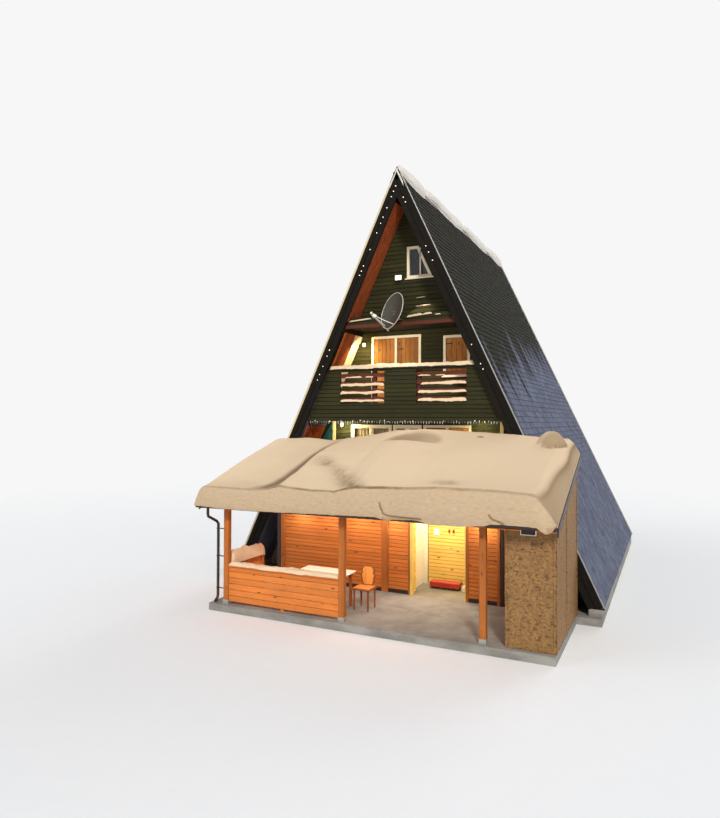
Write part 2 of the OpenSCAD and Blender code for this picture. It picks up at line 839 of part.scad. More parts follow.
function ramp(a, b, t) = let (c = min(1, max(0, (t - a) / (b - a)))) c * c * (3 - 2 * c);
function end_fall(u) = 1 - 0.28 * (1 - ramp(0, 0.05, u) + ramp(0.95, 1, u));
function snow_depth(u, v) = snow_t * end_fall(u) * (
    (1 - v) * (0.86 + 0.16 * ramp(0.2, 0.3, u) + 0.32 * ramp(0.4, 0.5, u) + 0.05 * sin(1080 * u))
    + v * (0.55 + 0.32 * ramp(0.35, 0.47, u) + 0.06 * sin(1300 * u)));
function snow_profile(u) = concat(
    [[deck_back, porch_top(deck_back) + seat], [-eave_y, eave_z + seat],
        [snow_back, eave_z + seat], [snow_back, snow_low],
        [snow_front + lip_steps[0], snow_low], [snow_front, snow_low + lip_steps[1]],
        [snow_front, eave_z + 0.55 * snow_depth(u, 0)],
        [snow_front + lip_steps[1], eave_z + 0.82 * snow_depth(u, 0)],
        [snow_front + lip_steps[2], eave_z + snow_depth(u, 0)]],
    [for (v = snow_shares) let (y = deck_back - (1 - v) * (deck_back + eave_y))
        [y, porch_top(y) + snow_depth(u, v)]],
    [[deck_back, porch_top(deck_back) + 0.8 * snow_depth(u, 1)]]);

module porch_snow() {
    profiles = [for (i = [0 : snow_cols]) snow_profile(i / snow_cols)];
    n = len(profiles[0]);
    x0 = porch_x0 - snow_side;
    step = (porch_w + 2 * snow_side) / snow_cols;
    points = [for (i = [0 : snow_cols]) for (q = profiles[i]) [x0 + i * step, q[0], q[1]]];
    sides = [for (i = [0 : snow_cols - 1]) for (j = [0 : n - 1])
        let (a = i * n + j, b = i * n + (j + 1) % n) each [[a, b, b + n], [a, b + n, a + n]]];
    color("snow") polyhedron(points, concat(sides, [[for (j = [n - 1 : -1 : 0]) j]],
        [[for (j = [0 : n - 1]) snow_cols * n + j]]));
}

module rail_snow() {
    edge = 5;
    z = rail_z + seat;
    color("snow") {
        block([rail_x0, -post_y - rail_w / 2 + edge, z],
            [rail_x1, -post_y + rail_w / 2 - edge, z + rail_snow_t]);
        block([post_xs[0] - rail_w / 2 + edge, side_y0, z],
            [post_xs[0] + rail_w / 2 - edge, side_y1, z + side_rail_snow_t]);
    }
}

module balcony_snow() {
    edge = 10;
    z = upper_floor_z + parapet_h + cap_t + seat;
    mid = parapet_y + parapet_t / 2;
    color("snow") from_to_y(mid - cap_w / 2 + edge, mid + cap_w / 2 - edge)
        between_roofs(z, z + cap_snow_t);
}

// The snow along the ridge lies in pieces, each given by its shares of the ridge
ridge_pieces = [[0.004, 0.165], [0.172, 0.505], [0.53, 0.8], [0.83, 0.99]];

module ridge_snow() {
    foot = ridge_h - ridge_snow_w * sin(roof_pitch);
    color("snow") for (piece = ridge_pieces) from_to_y(piece[0] * house_len, piece[1] * house_len)
        roof_band(ridge_cap_t + ridge_snow_t, -ridge_cap_t - seat, foot);
}

table_top_t = 50;
leg_t = 55;
table_gap = 240;
table_in = 350;
table_y0 = -post_y + table_in;

module porch_table() {
    x1 = post_xs[1] - table_gap;
    x0 = x1 - table_l;
    under = slab_t + table_h - table_top_t;
    color("white") block([x0, table_y0, under], [x1, table_y0 + table_d, slab_t + table_h]);
    color("saddlebrown") for (x = [x0 + leg_t, x1 - 2 * leg_t], y = [leg_t, table_d - 2 * leg_t])
        block([x, table_y0 + y, slab_t], [x + leg_t, table_y0 + y + leg_t, under]);
}

seat_t = 40;
chair_gap = 180;
chair_in = 750;
chair_y0 = -post_y + chair_in;

module porch_chair() {
    x0 = post_xs[1] - chair_gap;
    x1 = x0 + chair_w;
    seat_z = slab_t + chair_seat_h;
    color("sienna") {
        block([x0, chair_y0, seat_z - seat_t], [x1, chair_y0 + chair_d, seat_z]);
        for (x = [x0, x1 - seat_t], y = [chair_y0, chair_y0 + chair_d - seat_t])
            block([x, y, slab_t], [x + seat_t, y + seat_t, seat_z - seat_t]);
        block([x0, chair_y0 + chair_d - seat_t, seat_z], [x1, chair_y0 + chair_d, slab_t + chair_back_h]);
    }
}

house_slab();
foot_strips();
porch_floor();
main_floor();
upper_floor();
loft_floor();
roof_left();
roof_right();
ridge_cap();
front_barge();
rear_barge();
lower_front_wall();
lower_rear_wall();
main_front_wall();
main_rear_wall();
upper_front_wall();
upper_rear_wall();
front_gable_wall();
rear_gable_wall();
balcony_parapet();
balcony_slats();
balcony_cap();
front_window_frames();
front_window_glass();
front_shutters();
rear_window_frames();
rear_window_glass();
satellite_dish();
dish_bracket();
lamps();
porch_posts();
eave_beam();
porch_rafters();
porch_roof();
porch_fascia();
porch_verges();
gutter();
downpipe();
porch_wall_left();
porch_wall_right();
porch_wall_head();
recess_left_wall();
recess_right_wall();
recess_ceiling();
recess_back_boards();
door_head();
door_frame();
entrance_door();
hall_roof();
front_weather_panel();
side_weather_panel();
balustrade();
porch_snow();
rail_snow();
balcony_snow();
ridge_snow();
porch_table();
porch_chair();
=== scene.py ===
"""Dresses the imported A-frame cabin: boards, shingles, windows, lamps, porch timber and snow."""

import random
from math import atan2, cos, exp, hypot, pi, radians, sin, sqrt, tan

import bmesh
import bpy
import numpy as np
from mathutils import Matrix, Vector, noise


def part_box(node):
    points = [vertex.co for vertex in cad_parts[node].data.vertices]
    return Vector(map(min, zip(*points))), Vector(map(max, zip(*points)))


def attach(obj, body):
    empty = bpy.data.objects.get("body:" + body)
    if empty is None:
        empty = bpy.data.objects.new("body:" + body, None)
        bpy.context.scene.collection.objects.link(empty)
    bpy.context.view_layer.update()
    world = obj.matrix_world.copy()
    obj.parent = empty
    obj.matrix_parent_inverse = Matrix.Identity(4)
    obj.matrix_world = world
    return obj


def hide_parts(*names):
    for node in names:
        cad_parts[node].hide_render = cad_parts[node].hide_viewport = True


bl_info = {
    "name": "Snowy A-frame cabin",
    "version": (1, 0, 0),
    "blender": (4, 5, 0),
    "location": "3D View > Sidebar > Cabin",
    "description": "Boards, shingles, windows, lamps and snow for the A-frame cabin",
    "category": "Object",
}

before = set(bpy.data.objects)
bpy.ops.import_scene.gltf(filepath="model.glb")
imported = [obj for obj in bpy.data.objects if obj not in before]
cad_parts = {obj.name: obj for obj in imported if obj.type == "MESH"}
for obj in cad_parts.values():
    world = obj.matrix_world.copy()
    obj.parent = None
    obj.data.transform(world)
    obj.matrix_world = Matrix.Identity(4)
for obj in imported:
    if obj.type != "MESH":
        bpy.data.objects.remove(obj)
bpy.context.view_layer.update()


def lows(node):
    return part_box(node)[0]


def highs(node):
    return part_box(node)[1]


# Measures of the house, read from the frame
RIDGE_Z = highs("roof_right").z
FOOT_Z = lows("roof_right").z
HOUSE_END = highs("roof_right").y
STEEP = atan2(RIDGE_Z - FOOT_Z, highs("roof_right").x)
ROOF_THICK = 0.25
WALL_Y = lows("main_front_wall").y
GABLE_Y = lows("front_gable_wall").y
PARAPET_Y = lows("balcony_parapet").y
REAR_Y = highs("main_rear_wall").y
MAIN_Z = highs("main_floor").z
UPPER_Z = highs("upper_floor").z
LOFT_Z = highs("loft_floor").z
FLOOR_T = LOFT_Z - lows("loft_floor").z
PARAPET_TOP = highs("balcony_parapet").z
CAP_LOW, CAP_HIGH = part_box("balcony_cap")
DECK_LOW, DECK_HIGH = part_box("porch_roof")
WALL_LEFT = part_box("porch_wall_left")
WALL_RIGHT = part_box("porch_wall_right")
PORCH_WALL_Y = WALL_LEFT[0].y
PORCH_FLOOR = highs("porch_floor").z
RECESS = (WALL_LEFT[1].x, WALL_RIGHT[0].x)
RECESS_BACK = lows("recess_back_boards").y
RECESS_TOP = lows("porch_wall_head").z
BEAM_LOW, BEAM_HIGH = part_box("eave_beam")
POSTS_LOW, POSTS_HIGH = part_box("porch_posts")
POST_W = POSTS_HIGH.y - POSTS_LOW.y
POST_Y = (POSTS_HIGH.y + POSTS_LOW.y) / 2
LEAN = atan2(0.38, 1.0)
# The porch roof's edge, as (y, z)
EAVE = (-2.9, 2.36)
# Height of the gutter's rim at one x, and its fall for each metre
RIM_X, RIM_Z, RIM_FALL = -0.35, 2.334, 0.007
SIDING_T = 0.018
# Lower edge of what shows of the main storey above the porch
SEEN_LOW = 3.45


def half_out(z):
    """Half the width of the house at a height, to the outside of the roof"""
    return (RIDGE_Z - z) / tan(STEEP)


def half_in(z):
    """Half the width of the house at a height, between the roof slopes"""
    return half_out(z) - ROOF_THICK / sin(STEEP)


def lean_top(y):
    """Height of the porch roof's boards at a distance from the house"""
    return EAVE[1] + (y - EAVE[0]) * tan(LEAN)


def gutter_rim(x):
    """Height of the gutter's rim, which falls to the downpipe on the left"""
    return RIM_Z + RIM_FALL * (x - RIM_X)


def window(left, right, sill, head):
    """Sides, sill and head of a window whose sides are shares of the half width at its head"""
    reach = half_in(head)
    return left * reach, right * reach, sill, head


MAIN_SILL, MAIN_HEAD = MAIN_Z + 0.9, UPPER_Z - 0.31
UPPER_SILL, UPPER_HEAD = UPPER_Z + 0.9, LOFT_Z - 0.35
MAIN_WINDOWS = [
    window(-0.704, -0.246, MAIN_SILL, MAIN_HEAD),
    window(-0.232, 0.075, MAIN_Z + 0.06, MAIN_HEAD),
    window(0.092, 0.578, MAIN_SILL, MAIN_HEAD),
]
UPPER_WINDOWS = [
    window(-0.811, 0.115, UPPER_Z + 0.06, UPPER_HEAD),
    window(0.5, 0.95, UPPER_SILL, LOFT_Z - 0.42),
]
REAR_WINDOWS = [
    window(-0.75, -0.35, MAIN_SILL, MAIN_HEAD),
    window(0.35, 0.75, MAIN_SILL, MAIN_HEAD),
    window(-0.47, 0.47, UPPER_SILL, UPPER_HEAD),
]
GABLE_TOP = RIDGE_Z - ROOF_THICK / cos(STEEP)
GABLE_SILL = LOFT_Z + 0.338 * (GABLE_TOP - LOFT_Z)
GABLE_HEAD = LOFT_Z + 0.613 * (GABLE_TOP - LOFT_Z)
FRAME_W = 0.065


def gable_window_right(z):
    """Right side of the slanted gable window at a height"""
    share = min(1.0, max(0.0, (z - GABLE_SILL) / (GABLE_HEAD - GABLE_SILL)))
    low = 0.758 * half_in(GABLE_SILL)
    return low + share * (0.589 * half_in(GABLE_HEAD) - low)


SLAT_Z = (UPPER_Z + 0.22, UPPER_Z + 1.0)
SLAT_BAYS = [
    (-0.812 * half_in(SLAT_Z[1]), -0.194 * half_in(SLAT_Z[1])),
    (0.23 * half_in(SLAT_Z[1]), 0.86 * half_in(SLAT_Z[1])),
]
PORCH_POSTS = [DECK_LOW.x + share * (DECK_HIGH.x - DECK_LOW.x) for share in (0.07, 0.445, 0.823)]


def length_property(name, description, value):
    return bpy.props.FloatProperty(name=name, description=description, default=value, unit="LENGTH")


class CabinSizes(bpy.types.PropertyGroup):
    """Sizes of the dressing"""

    siding: length_property("Siding board", "Height of one siding board", 0.105)
    pine: length_property("Pine board", "Height of one pine board of the porch", 0.088)
    groove: length_property("Groove", "Width of the groove between two boards", 0.010)
    course: length_property("Roof course", "Height of one course of shingles", 0.15)
    shingle: length_property("Shingle width", "Width of one shingle", 0.29)
    sash: length_property("Sash", "Width of the sash round each pane, thinner in front", 0.046)
    bulb: length_property("Bulb", "Radius of one bulb on the barge boards and the balcony's edge", 0.012)


def colour_property(name, description, value):
    return bpy.props.FloatVectorProperty(
        name=name, description=description, subtype="COLOR", size=3, min=0, max=1, default=value)


def linear(red, green, blue):
    """A colour written as on screen, from 0 to 255, for the shader"""
    return tuple(
        c / 12.92 if c <= 0.04045 else ((c + 0.055) / 1.055) ** 2.4
        for c in (red / 255, green / 255, blue / 255))


class CabinColours(bpy.types.PropertyGroup):
    """Colours of the dressing"""

    siding: colour_property("Siding", "Stained siding", linear(50, 48, 17))
    roof: colour_property("Roof", "Shingles", linear(34, 32, 22))
    barge: colour_property("Barge boards", "Near black stain", linear(26, 22, 17))
    soffit: colour_property("Soffit", "Lining under the steep roof", linear(172, 84, 40))
    cream: colour_property("Cream", "Window frames and trims", linear(243, 229, 198))
    shutter: colour_property("Shutters", "Oiled shutter boards", linear(186, 120, 56))
    slat: colour_property("Slats", "Red brown stain", linear(98, 46, 32))
    # The porch pine's orange and the entrance pine's pale yellow are partly the warm lamplight of porch and
    # entrance, painted into the colour
    pine: colour_property("Porch pine", "Varnished pine", linear(224, 130, 56))
    pale_pine: colour_property("Entrance pine", "Pale varnished pine", linear(250, 210, 116))
    strand: colour_property("Strand board", "Pressed strand board", linear(150, 112, 68))
    metal: colour_property("Brown metal", "Gutter, verges and downpipe", linear(58, 42, 32))
    snow: colour_property("Snow", "Snow in warm light", linear(234, 208, 174))
    dish: colour_property("Dish", "Grey paint", linear(54, 47, 36))


# Materials


class Wave:
    """A value that runs through nodes, so that sums on it can be written plainly"""

    def __init__(self, owner, socket):
        self.owner = owner
        self.socket = socket

    def __add__(self, other):
        return self.owner.maths("ADD", self, other)

    __radd__ = __add__

    def __sub__(self, other):
        return self.owner.maths("SUBTRACT", self, other)

    def __rsub__(self, other):
        return self.owner.maths("SUBTRACT", other, self)

    def __mul__(self, other):
        return self.owner.maths("MULTIPLY", self, other)

    __rmul__ = __mul__

    def __gt__(self, other):
        return self.owner.maths("GREATER_THAN", self, other)

    def __lt__(self, other):
        return self.owner.maths("LESS_THAN", self, other)


class Nodes:
    """A node tree that is built with one call for each node"""

    prefix = "ShaderNode"

    def node(self, kind, settings=None, values=None, out=0):
        whole = kind if kind.startswith(("Shader", "Function", "NodeGroup")) else self.prefix + kind
        made = self.tree.nodes.new(whole)
        for key, value in (settings or {}).items():
            setattr(made, key, value)
        for key, value in (values or {}).items():
            self.feed(made.inputs[key], value)
        return Wave(self, made.outputs[out])

    def feed(self, socket, value):
        if isinstance(value, Wave):
            self.tree.links.new(value.socket, socket)
        else:
            socket.default_value = value

    def maths(self, operation, *values):
        return self.node("ShaderNodeMath", {"operation": operation}, dict(enumerate(values)))


class Paint(Nodes):
    """One material, with helpers for the patterns that the cabin needs"""

    def __init__(self, name, **constants):
        self.material = bpy.data.materials.new(name)
        self.material.use_nodes = True
        self.tree = self.material.node_tree
        self.shader = self.tree.nodes["Principled BSDF"]
        for key, value in constants.items():
            self.feed(self.shader.inputs[key.replace("_", " ")], value)
        self.tone = self.node("Attribute", {"attribute_name": "tone"}, out=2)

    def blend(self, share, first, second):
        values = {0: share}
        for key, value in ((6, first), (7, second)):
            values[key] = value if isinstance(value, Wave) else (*value[:3], 1.0)
        return self.node("Mix", {"data_type": "RGBA"}, values, out=2)

    def shade(self, colour, factor):
        """Darkens or lightens a colour by a factor that varies"""
        settings = {"data_type": "RGBA", "blend_type": "MULTIPLY"}
        return self.node("Mix", settings, {0: 1.0, 6: colour, 7: factor}, out=2)

    def smooth(self, value, low, high):
        settings = {"interpolation_type": "SMOOTHSTEP"}
        return self.node("MapRange", settings, {"Value": value, "From Min": low, "From Max": high})

    def here(self, scale=(1, 1, 1), shift=None):
        """Object coordinates, stretched, and moved on each board so that none repeats the next"""
        spot = self.node("TexCoord", out=3)
        if shift is not None:
            step = self.node("CombineXYZ", {}, {0: shift * 7.3, 1: shift * 5.1, 2: shift * 3.7})
            spot = self.node("VectorMath", {"operation": "ADD"}, {0: spot, 1: step})
        return self.node("Mapping", {}, {"Vector": spot, "Scale": scale})

    def axis(self, index):
        return self.node("SeparateXYZ", {}, {0: self.node("TexCoord", out=3)}, out=index)

    def noise(self, where, scale, detail, rough, twist=0.0):
        values = {"Vector": where, "Scale": scale, "Detail": detail, "Roughness": rough, "Distortion": twist}
        return self.node("TexNoise", {}, values)

    def cells(self, where, scale=1.0, out=0):
        return self.node("TexVoronoi", {}, {"Vector": where, "Scale": scale}, out=out)

    def cell_value(self, where):
        """A value that is the same all over a cell and differs from the next cell's"""
        return self.node("SeparateColor", {}, {0: self.cells(where, out=1)})

    def bump(self, height, distance, strength):
        values = {"Strength": strength, "Distance": distance, "Height": height}
        self.feed(self.shader.inputs["Normal"], self.node("Bump", {}, values))

    def finish(self, colour, rough=None):
        self.feed(self.shader.inputs["Base Color"], colour)
        if rough is not None:
            self.feed(self.shader.inputs["Roughness"], rough)
        return self.material


def tint(colour, factor):
    """A colour made darker or lighter"""
    return tuple(min(1.0, c * factor) for c in colour[:3])


GRAIN = {"x": (1, 10, 10), "y": (10, 1, 10), "z": (10, 10, 1)}
KNOTS = {"x": (3.6, 9, 9), "y": (9, 3.6, 9), "z": (9, 9, 3.6)}


def wood(name, colour, grain, contrast=0.45, knots=0.0, gloss=0.5, frost=0.0, vary=0.2):
    """Boards with fibres along one axis, knots, a tone for each board, and frost"""
    paint = Paint(name, Specular_IOR_Level=0.15 + 0.4 * gloss)
    fibre = paint.noise(paint.here(GRAIN[grain], paint.tone), 6.0, 6.0, 0.62, 0.3)
    band = paint.noise(paint.here(tuple(s * 0.3 for s in GRAIN[grain]), paint.tone), 2.2, 3.0, 0.5, 0.9)
    mixed = paint.smooth(fibre * 0.5 + band * 0.5, 0.25, 0.75)
    shown = paint.blend(mixed, tint(colour, 1 - contrast), tint(colour, 1 + 0.35 * contrast))
    height = fibre * 0.7 + band * 0.3
    if knots:
        place = paint.here(KNOTS[grain], paint.tone)
        ring = paint.cells(place)
        chosen = paint.cell_value(place) > 1 - knots
        halo = (1 - paint.smooth(ring, 0.10, 0.30)) * chosen * 0.5
        knot = (1 - paint.smooth(ring, 0.08, 0.17)) * chosen
        shown = paint.blend(halo, shown, tint(colour, 0.6))
        shown = paint.blend(knot, shown, tint(colour, 0.2))
        height = height - knot * 0.5
    shown = paint.shade(shown, paint.tone * vary + 1)
    wear = paint.noise(paint.here((1.3, 1.3, 1.3)), 1.7, 4.0, 0.6)
    shown = paint.shade(shown, wear * 0.3 + 0.86)
    if frost:
        rime = paint.smooth(paint.noise(paint.here((1.5, 1.5, 9)), 3.1, 6.0, 0.7), 0.68 - frost, 0.9)
        shown = paint.blend(rime, shown, (0.72, 0.75, 0.78))
    paint.bump(height, 0.003, 0.4)
    return paint.finish(shown, fibre * 0.25 + (0.85 - 0.5 * gloss))


def painted(name, colour, rough, wear, metal=0.0, streak=(3, 3, 3)):
    """Paint over wood or metal, with stains, fine grain and a slightly uneven gloss"""
    paint = Paint(name, Metallic=metal)
    stain = paint.noise(paint.here(streak, paint.tone), 2.3, 5.0, 0.62)
    grit = paint.noise(paint.here(), 65.0, 3.0, 0.6)
    dirty = paint.smooth(stain, 0.5, 0.82) * wear
    shown = paint.blend(dirty, tint(colour, 1.04), tint(colour, 0.5))
    shown = paint.shade(shown, grit * 0.16 + 0.92)
    shown = paint.shade(shown, paint.tone * 0.12 + 1)
    paint.bump(grit * 0.6 + stain * 0.4, 0.003, 0.35)
    return paint.finish(shown, stain * 0.3 + (rough - 0.12))


def snow_paint(colour):
    """Wind packed snow: fine grains and small dents, with painted shade: sides darker than the top, and a
    dark shade colour in creases and hollows where the snow pieces carry a negative tone
    """
    paint = Paint("packed snow", Specular_IOR_Level=0.2)
    grains = paint.noise(paint.here(), 70.0, 4.0, 0.7)
    dents = paint.noise(paint.here((1, 1, 1.8)), 8.0, 6.0, 0.62)
    drift = paint.noise(paint.here(), 0.9, 3.0, 0.5)
    # Painted shade: faces that turn away from upwards are darker than the top
    level = paint.node("SeparateXYZ", {}, {0: paint.node("TexCoord", out=1)}, out=2)
    side = 1 - paint.smooth(level, 0.05, 0.7)
    shown = paint.blend(side * 0.5, colour, tint(colour, 0.86))
    shown = paint.blend(paint.smooth(drift, 0.4, 0.75) * 0.3, shown, tint(colour, 1.08))
    # Painted shade in creases and hollows, from the negative tone that the snow pieces carry
    painted_shade = paint.maths("MINIMUM", paint.maths("MAXIMUM", paint.tone * -1, 0.0), 1.0)
    shown = paint.blend(painted_shade, shown, (0.25, 0.16, 0.085))
    shown = paint.shade(shown, dents * side * 0.16 + grains * 0.08 + 0.94)
    paint.bump(grains * 0.25 + dents * (side * 0.9 + 0.1), 0.02, 0.5)
    return paint.finish(shown, 0.8)


def shingle_paint(colour):
    """Weathered shingles with moss and streaks, and thin snow on the lower part that ends in tongues, its
    colour darkened and blued as painted shade
    """
    paint = Paint("shingles", Specular_IOR_Level=0.05)
    where = paint.here((1, 1, 1), paint.tone)
    grit = paint.noise(where, 38.0, 4.0, 0.7)
    streak = paint.noise(paint.here((7, 7, 0.8)), 1.6, 5.0, 0.6)
    moss = paint.smooth(paint.noise(paint.here(), 1.9, 5.0, 0.65), 0.48, 0.72)
    shown = paint.blend(paint.smooth(streak, 0.3, 0.7), tint(colour, 0.7), tint(colour, 1.15))
    shown = paint.blend(moss * 0.4, shown, (0.022, 0.030, 0.010))
    shown = paint.shade(shown, paint.tone * 0.18 + 1)
    shown = paint.shade(shown, grit * 0.4 + 0.8)
    tongue = paint.noise(paint.here((0.25, 1.5, 0.16)), 1.5, 5.0, 0.6)
    fine = paint.noise(paint.here((1.5, 5.0, 1.5)), 1.3, 6.0, 0.7)
    limit = paint.axis(1) * 0.17 + 2.1 + tongue * 5.0 + fine * 1.2
    rime = paint.smooth(limit - paint.axis(2), -0.25, 0.75)
    thin = paint.smooth(fine, 0.30, 0.62) * 0.35 + paint.tone * 0.10 + grit * 0.3 + 0.26
    # The thin snow is real, but its dark blue colour is painted shade
    shown = paint.blend(rime * thin, shown, (0.18, 0.20, 0.29))
    paint.bump(grit + rime * 0.6, 0.004, 0.6)
    return paint.finish(shown, grit * 0.2 + 0.68)


def strand_paint(colour):
    """Pressed strand board: flakes in two directions, and darker patches"""
    paint = Paint("strand board", Specular_IOR_Level=0.3)
    first = paint.cell_value(paint.here((12, 12, 34)))
    second = paint.cell_value(paint.here((32, 32, 13)))
    which = paint.smooth(paint.noise(paint.here(), 14.0, 2.0, 0.5), 0.45, 0.55)
    flakes = first * which + second * (1 - which)
    dark = paint.smooth(paint.noise(paint.here((1, 1, 1.6)), 15.0, 4.0, 0.62), 0.54, 0.63)
    shown = paint.blend(flakes, tint(colour, 0.66), tint(colour, 1.18))
    shown = paint.blend(dark * 0.75, shown, tint(colour, 0.22))
    stain = paint.noise(paint.here(), 1.3, 4.0, 0.6)
    shown = paint.shade(shown, stain * 0.5 + 0.74)
    paint.bump(flakes - dark * 0.5, 0.003, 0.4)
    return paint.finish(shown, flakes * 0.2 + 0.6)


def stone_paint(name, colour):
    """Cast concrete or rough render with pores and damp stains"""
    paint = Paint(name)
    pores = paint.smooth(paint.cells(paint.here(), 34.0), 0.05, 0.22)
    cloud = paint.noise(paint.here((1, 1, 2.4)), 1.4, 6.0, 0.62)
    grit = paint.noise(paint.here(), 60.0, 4.0, 0.7)
    shown = paint.blend(paint.smooth(cloud, 0.35, 0.7), tint(colour, 0.7), tint(colour, 1.12))
    shown = paint.shade(shown, grit * 0.3 + 0.84)
    paint.bump(grit + pores * 0.5, 0.004, 0.6)
    return paint.finish(shown, grit * 0.15 + 0.78)


def glass_paint(name, colour, alpha, clear_to=None):
    """Glass that hides the dark rooms; one pane may be clearer, where a curtain hangs behind it"""
    paint = Paint(name, Alpha=alpha, Specular_IOR_Level=0.6)
    if clear_to is not None:
        here = (paint.axis(0) < clear_to[0]) * (paint.axis(2) < clear_to[1]) * (paint.axis(1) < 2.0)
        paint.feed(paint.shader.inputs["Alpha"], here * (0.12 - alpha) + alpha)
    smear = paint.noise(paint.here((2, 2, 1)), 3.0, 4.0, 0.6)
    shown = paint.blend(paint.smooth(smear, 0.4, 0.8), colour, tint(colour, 1.8))
    paint.bump(smear, 0.001, 0.2)
    return paint.finish(shown, smear * 0.1 + 0.03)


def cloth_paint(name, colour):
    """Woven cloth with a fine weave"""
    paint = Paint(name, Sheen_Weight=0.3)
    warp = paint.noise(paint.here((160, 160, 6)), 1.0, 2.0, 0.5)
    weft = paint.noise(paint.here((6, 6, 160)), 1.0, 2.0, 0.5)
    shown = paint.blend(warp * 0.5 + weft * 0.5, tint(colour, 0.78), tint(colour, 1.1))
    paint.bump(warp + weft, 0.001, 0.4)
    return paint.finish(shown, 0.85)


def glow_paint(name, colour, strength):
    """A lit lamp glass, a little darker towards its rim"""
    paint = Paint(name, Roughness=0.3, Emission_Strength=strength)
    rim = paint.node("LayerWeight", {}, {"Blend": 0.35}, out=1)
    speck = paint.noise(paint.here(), 24.0, 2.0, 0.5)
    shown = paint.blend(rim * 0.6, colour, tint(colour, 0.6))
    paint.feed(paint.shader.inputs["Emission Color"], shown)
    return paint.finish(paint.shade(shown, speck * 0.2 + 0.9))


PAINTS = {}


def paints(*names):
    """The named materials, made when they are first asked for"""
    look = bpy.context.scene.cabin_colours
    makers = {
        "siding": lambda: wood("siding", look.siding, "x", 0.5, 0.25, 0.35, frost=0.02),
        "shingles": lambda: shingle_paint(look.roof),
        "barge": lambda: wood("barge boards", look.barge, "z", 0.4, 0.15, 0.1, frost=0.03),
        "soffit": lambda: wood("soffit boards", look.soffit, "z", 0.5, 0.5, 0.5, vary=0.35),
        "cream": lambda: painted("cream paint", look.cream, 0.4, 0.25, streak=(4, 4, 9)),
        "verge": lambda: painted("left verge strip", linear(214, 196, 150), 0.5, 0.5, streak=(4, 4, 1)),
        "shutter": lambda: wood("shutter boards", look.shutter, "z", 0.55, 0.6, 0.5),
        "tan": lambda: wood("tan boards", tint(look.shutter, 1.5), "z", 0.35, 0.3, 0.4),
        "slat": lambda: wood("slat boards", look.slat, "x", 0.5, 0.3, 0.4, frost=0.06),
        "pine": lambda: wood("porch pine", look.pine, "x", 0.22, 0.30, 0.5, vary=0.12),
        # Darker copy of the porch pine for posts and upright battens: painted shade, the light falling from
        # behind them
        "pine_post": lambda: wood("porch posts", tint(look.pine, 0.66), "z", 0.32, 0.30, 0.5),
        "pine_side": lambda: wood("porch side boards", look.pine, "y", 0.24, 0.30, 0.5, vary=0.12),
        "pale": lambda: wood("entrance pine", look.pale_pine, "x", 0.18, 0.25, 0.5, vary=0.08),
        "pale_post": lambda: wood("entrance posts", tint(look.pale_pine, 1.05), "z", 0.3, 0.4, 0.6),
        "pale_side": lambda: wood("entrance side", look.pale_pine, "y", 0.3, 0.5, 0.6),
        # Darker copies of the woods for the walls behind the boards: painted shade in the grooves between
        # boards
        "pine_back": lambda: wood("boards behind the grooves", tint(look.pine, 0.50), "x"),
        "siding_back": lambda: wood("boards behind the siding", tint(look.siding, 0.4), "x"),
        "pale_back": lambda: wood("boards behind the lining", tint(look.pale_pine, 0.35), "x"),
        "deck": lambda: wood("sawn boards", linear(122, 84, 52), "y", 0.5, 0.4, 0.2),
        "floor": lambda: wood("floor boards", linear(150, 112, 72), "y", 0.45, 0.4, 0.4),
        "metal": lambda: painted("brown metal", look.metal, 0.42, 0.5, 0.3),
        "flashing": lambda: painted("verge flashing", linear(140, 140, 134), 0.5, 0.6, 0.4),
        "dish": lambda: painted("dish paint", look.dish, 0.4, 0.4, 0.1),
        "rim": lambda: painted("dish rim", linear(214, 208, 188), 0.4, 0.3, 0.2),
        "steel": lambda: painted("galvanised steel", linear(176, 176, 170), 0.4, 0.5, 0.6),
        "black": lambda: painted("black fittings", linear(30, 29, 28), 0.4, 0.4, 0.2),
        "white": lambda: painted("white paint", linear(242, 240, 230), 0.35, 0.2),
        "strand": lambda: strand_paint(look.strand),
        "snow": lambda: snow_paint(look.snow),
        "cold_snow": lambda: snow_paint(linear(224, 218, 208)),
        "concrete": lambda: stone_paint("concrete", linear(150, 147, 140)),
        "render": lambda: stone_paint("rough render", linear(168, 160, 146)),
        "glass": lambda: glass_paint("window glass", (0.020, 0.024, 0.028), 0.72, (-0.6, 4.1)),
        "teal": lambda: glass_paint("side panes", (0.02, 0.12, 0.14), 0.9),
        "ice": lambda: glass_paint("ice", (0.78, 0.84, 0.88), 0.75),
        "curtain": lambda: cloth_paint("curtain cloth", linear(206, 184, 140)),
        "mat": lambda: cloth_paint("door mat", linear(186, 52, 28)),
        "glow": lambda: glow_paint("lit glass", linear(255, 244, 214), 1.6),
        "bulb": lambda: glow_paint("lit bulbs", linear(255, 236, 200), 1.5),
        "chair": lambda: wood("chair wood", linear(150, 78, 34), "z", 0.5, 0.2, 0.7),
        "table": lambda: painted("white boards", linear(236, 228, 212), 0.45, 0.25),
    }
    for name in names:
        if name not in PAINTS:
            PAINTS[name] = makers[name]()
    return [PAINTS[name] for name in names]


# Shapes


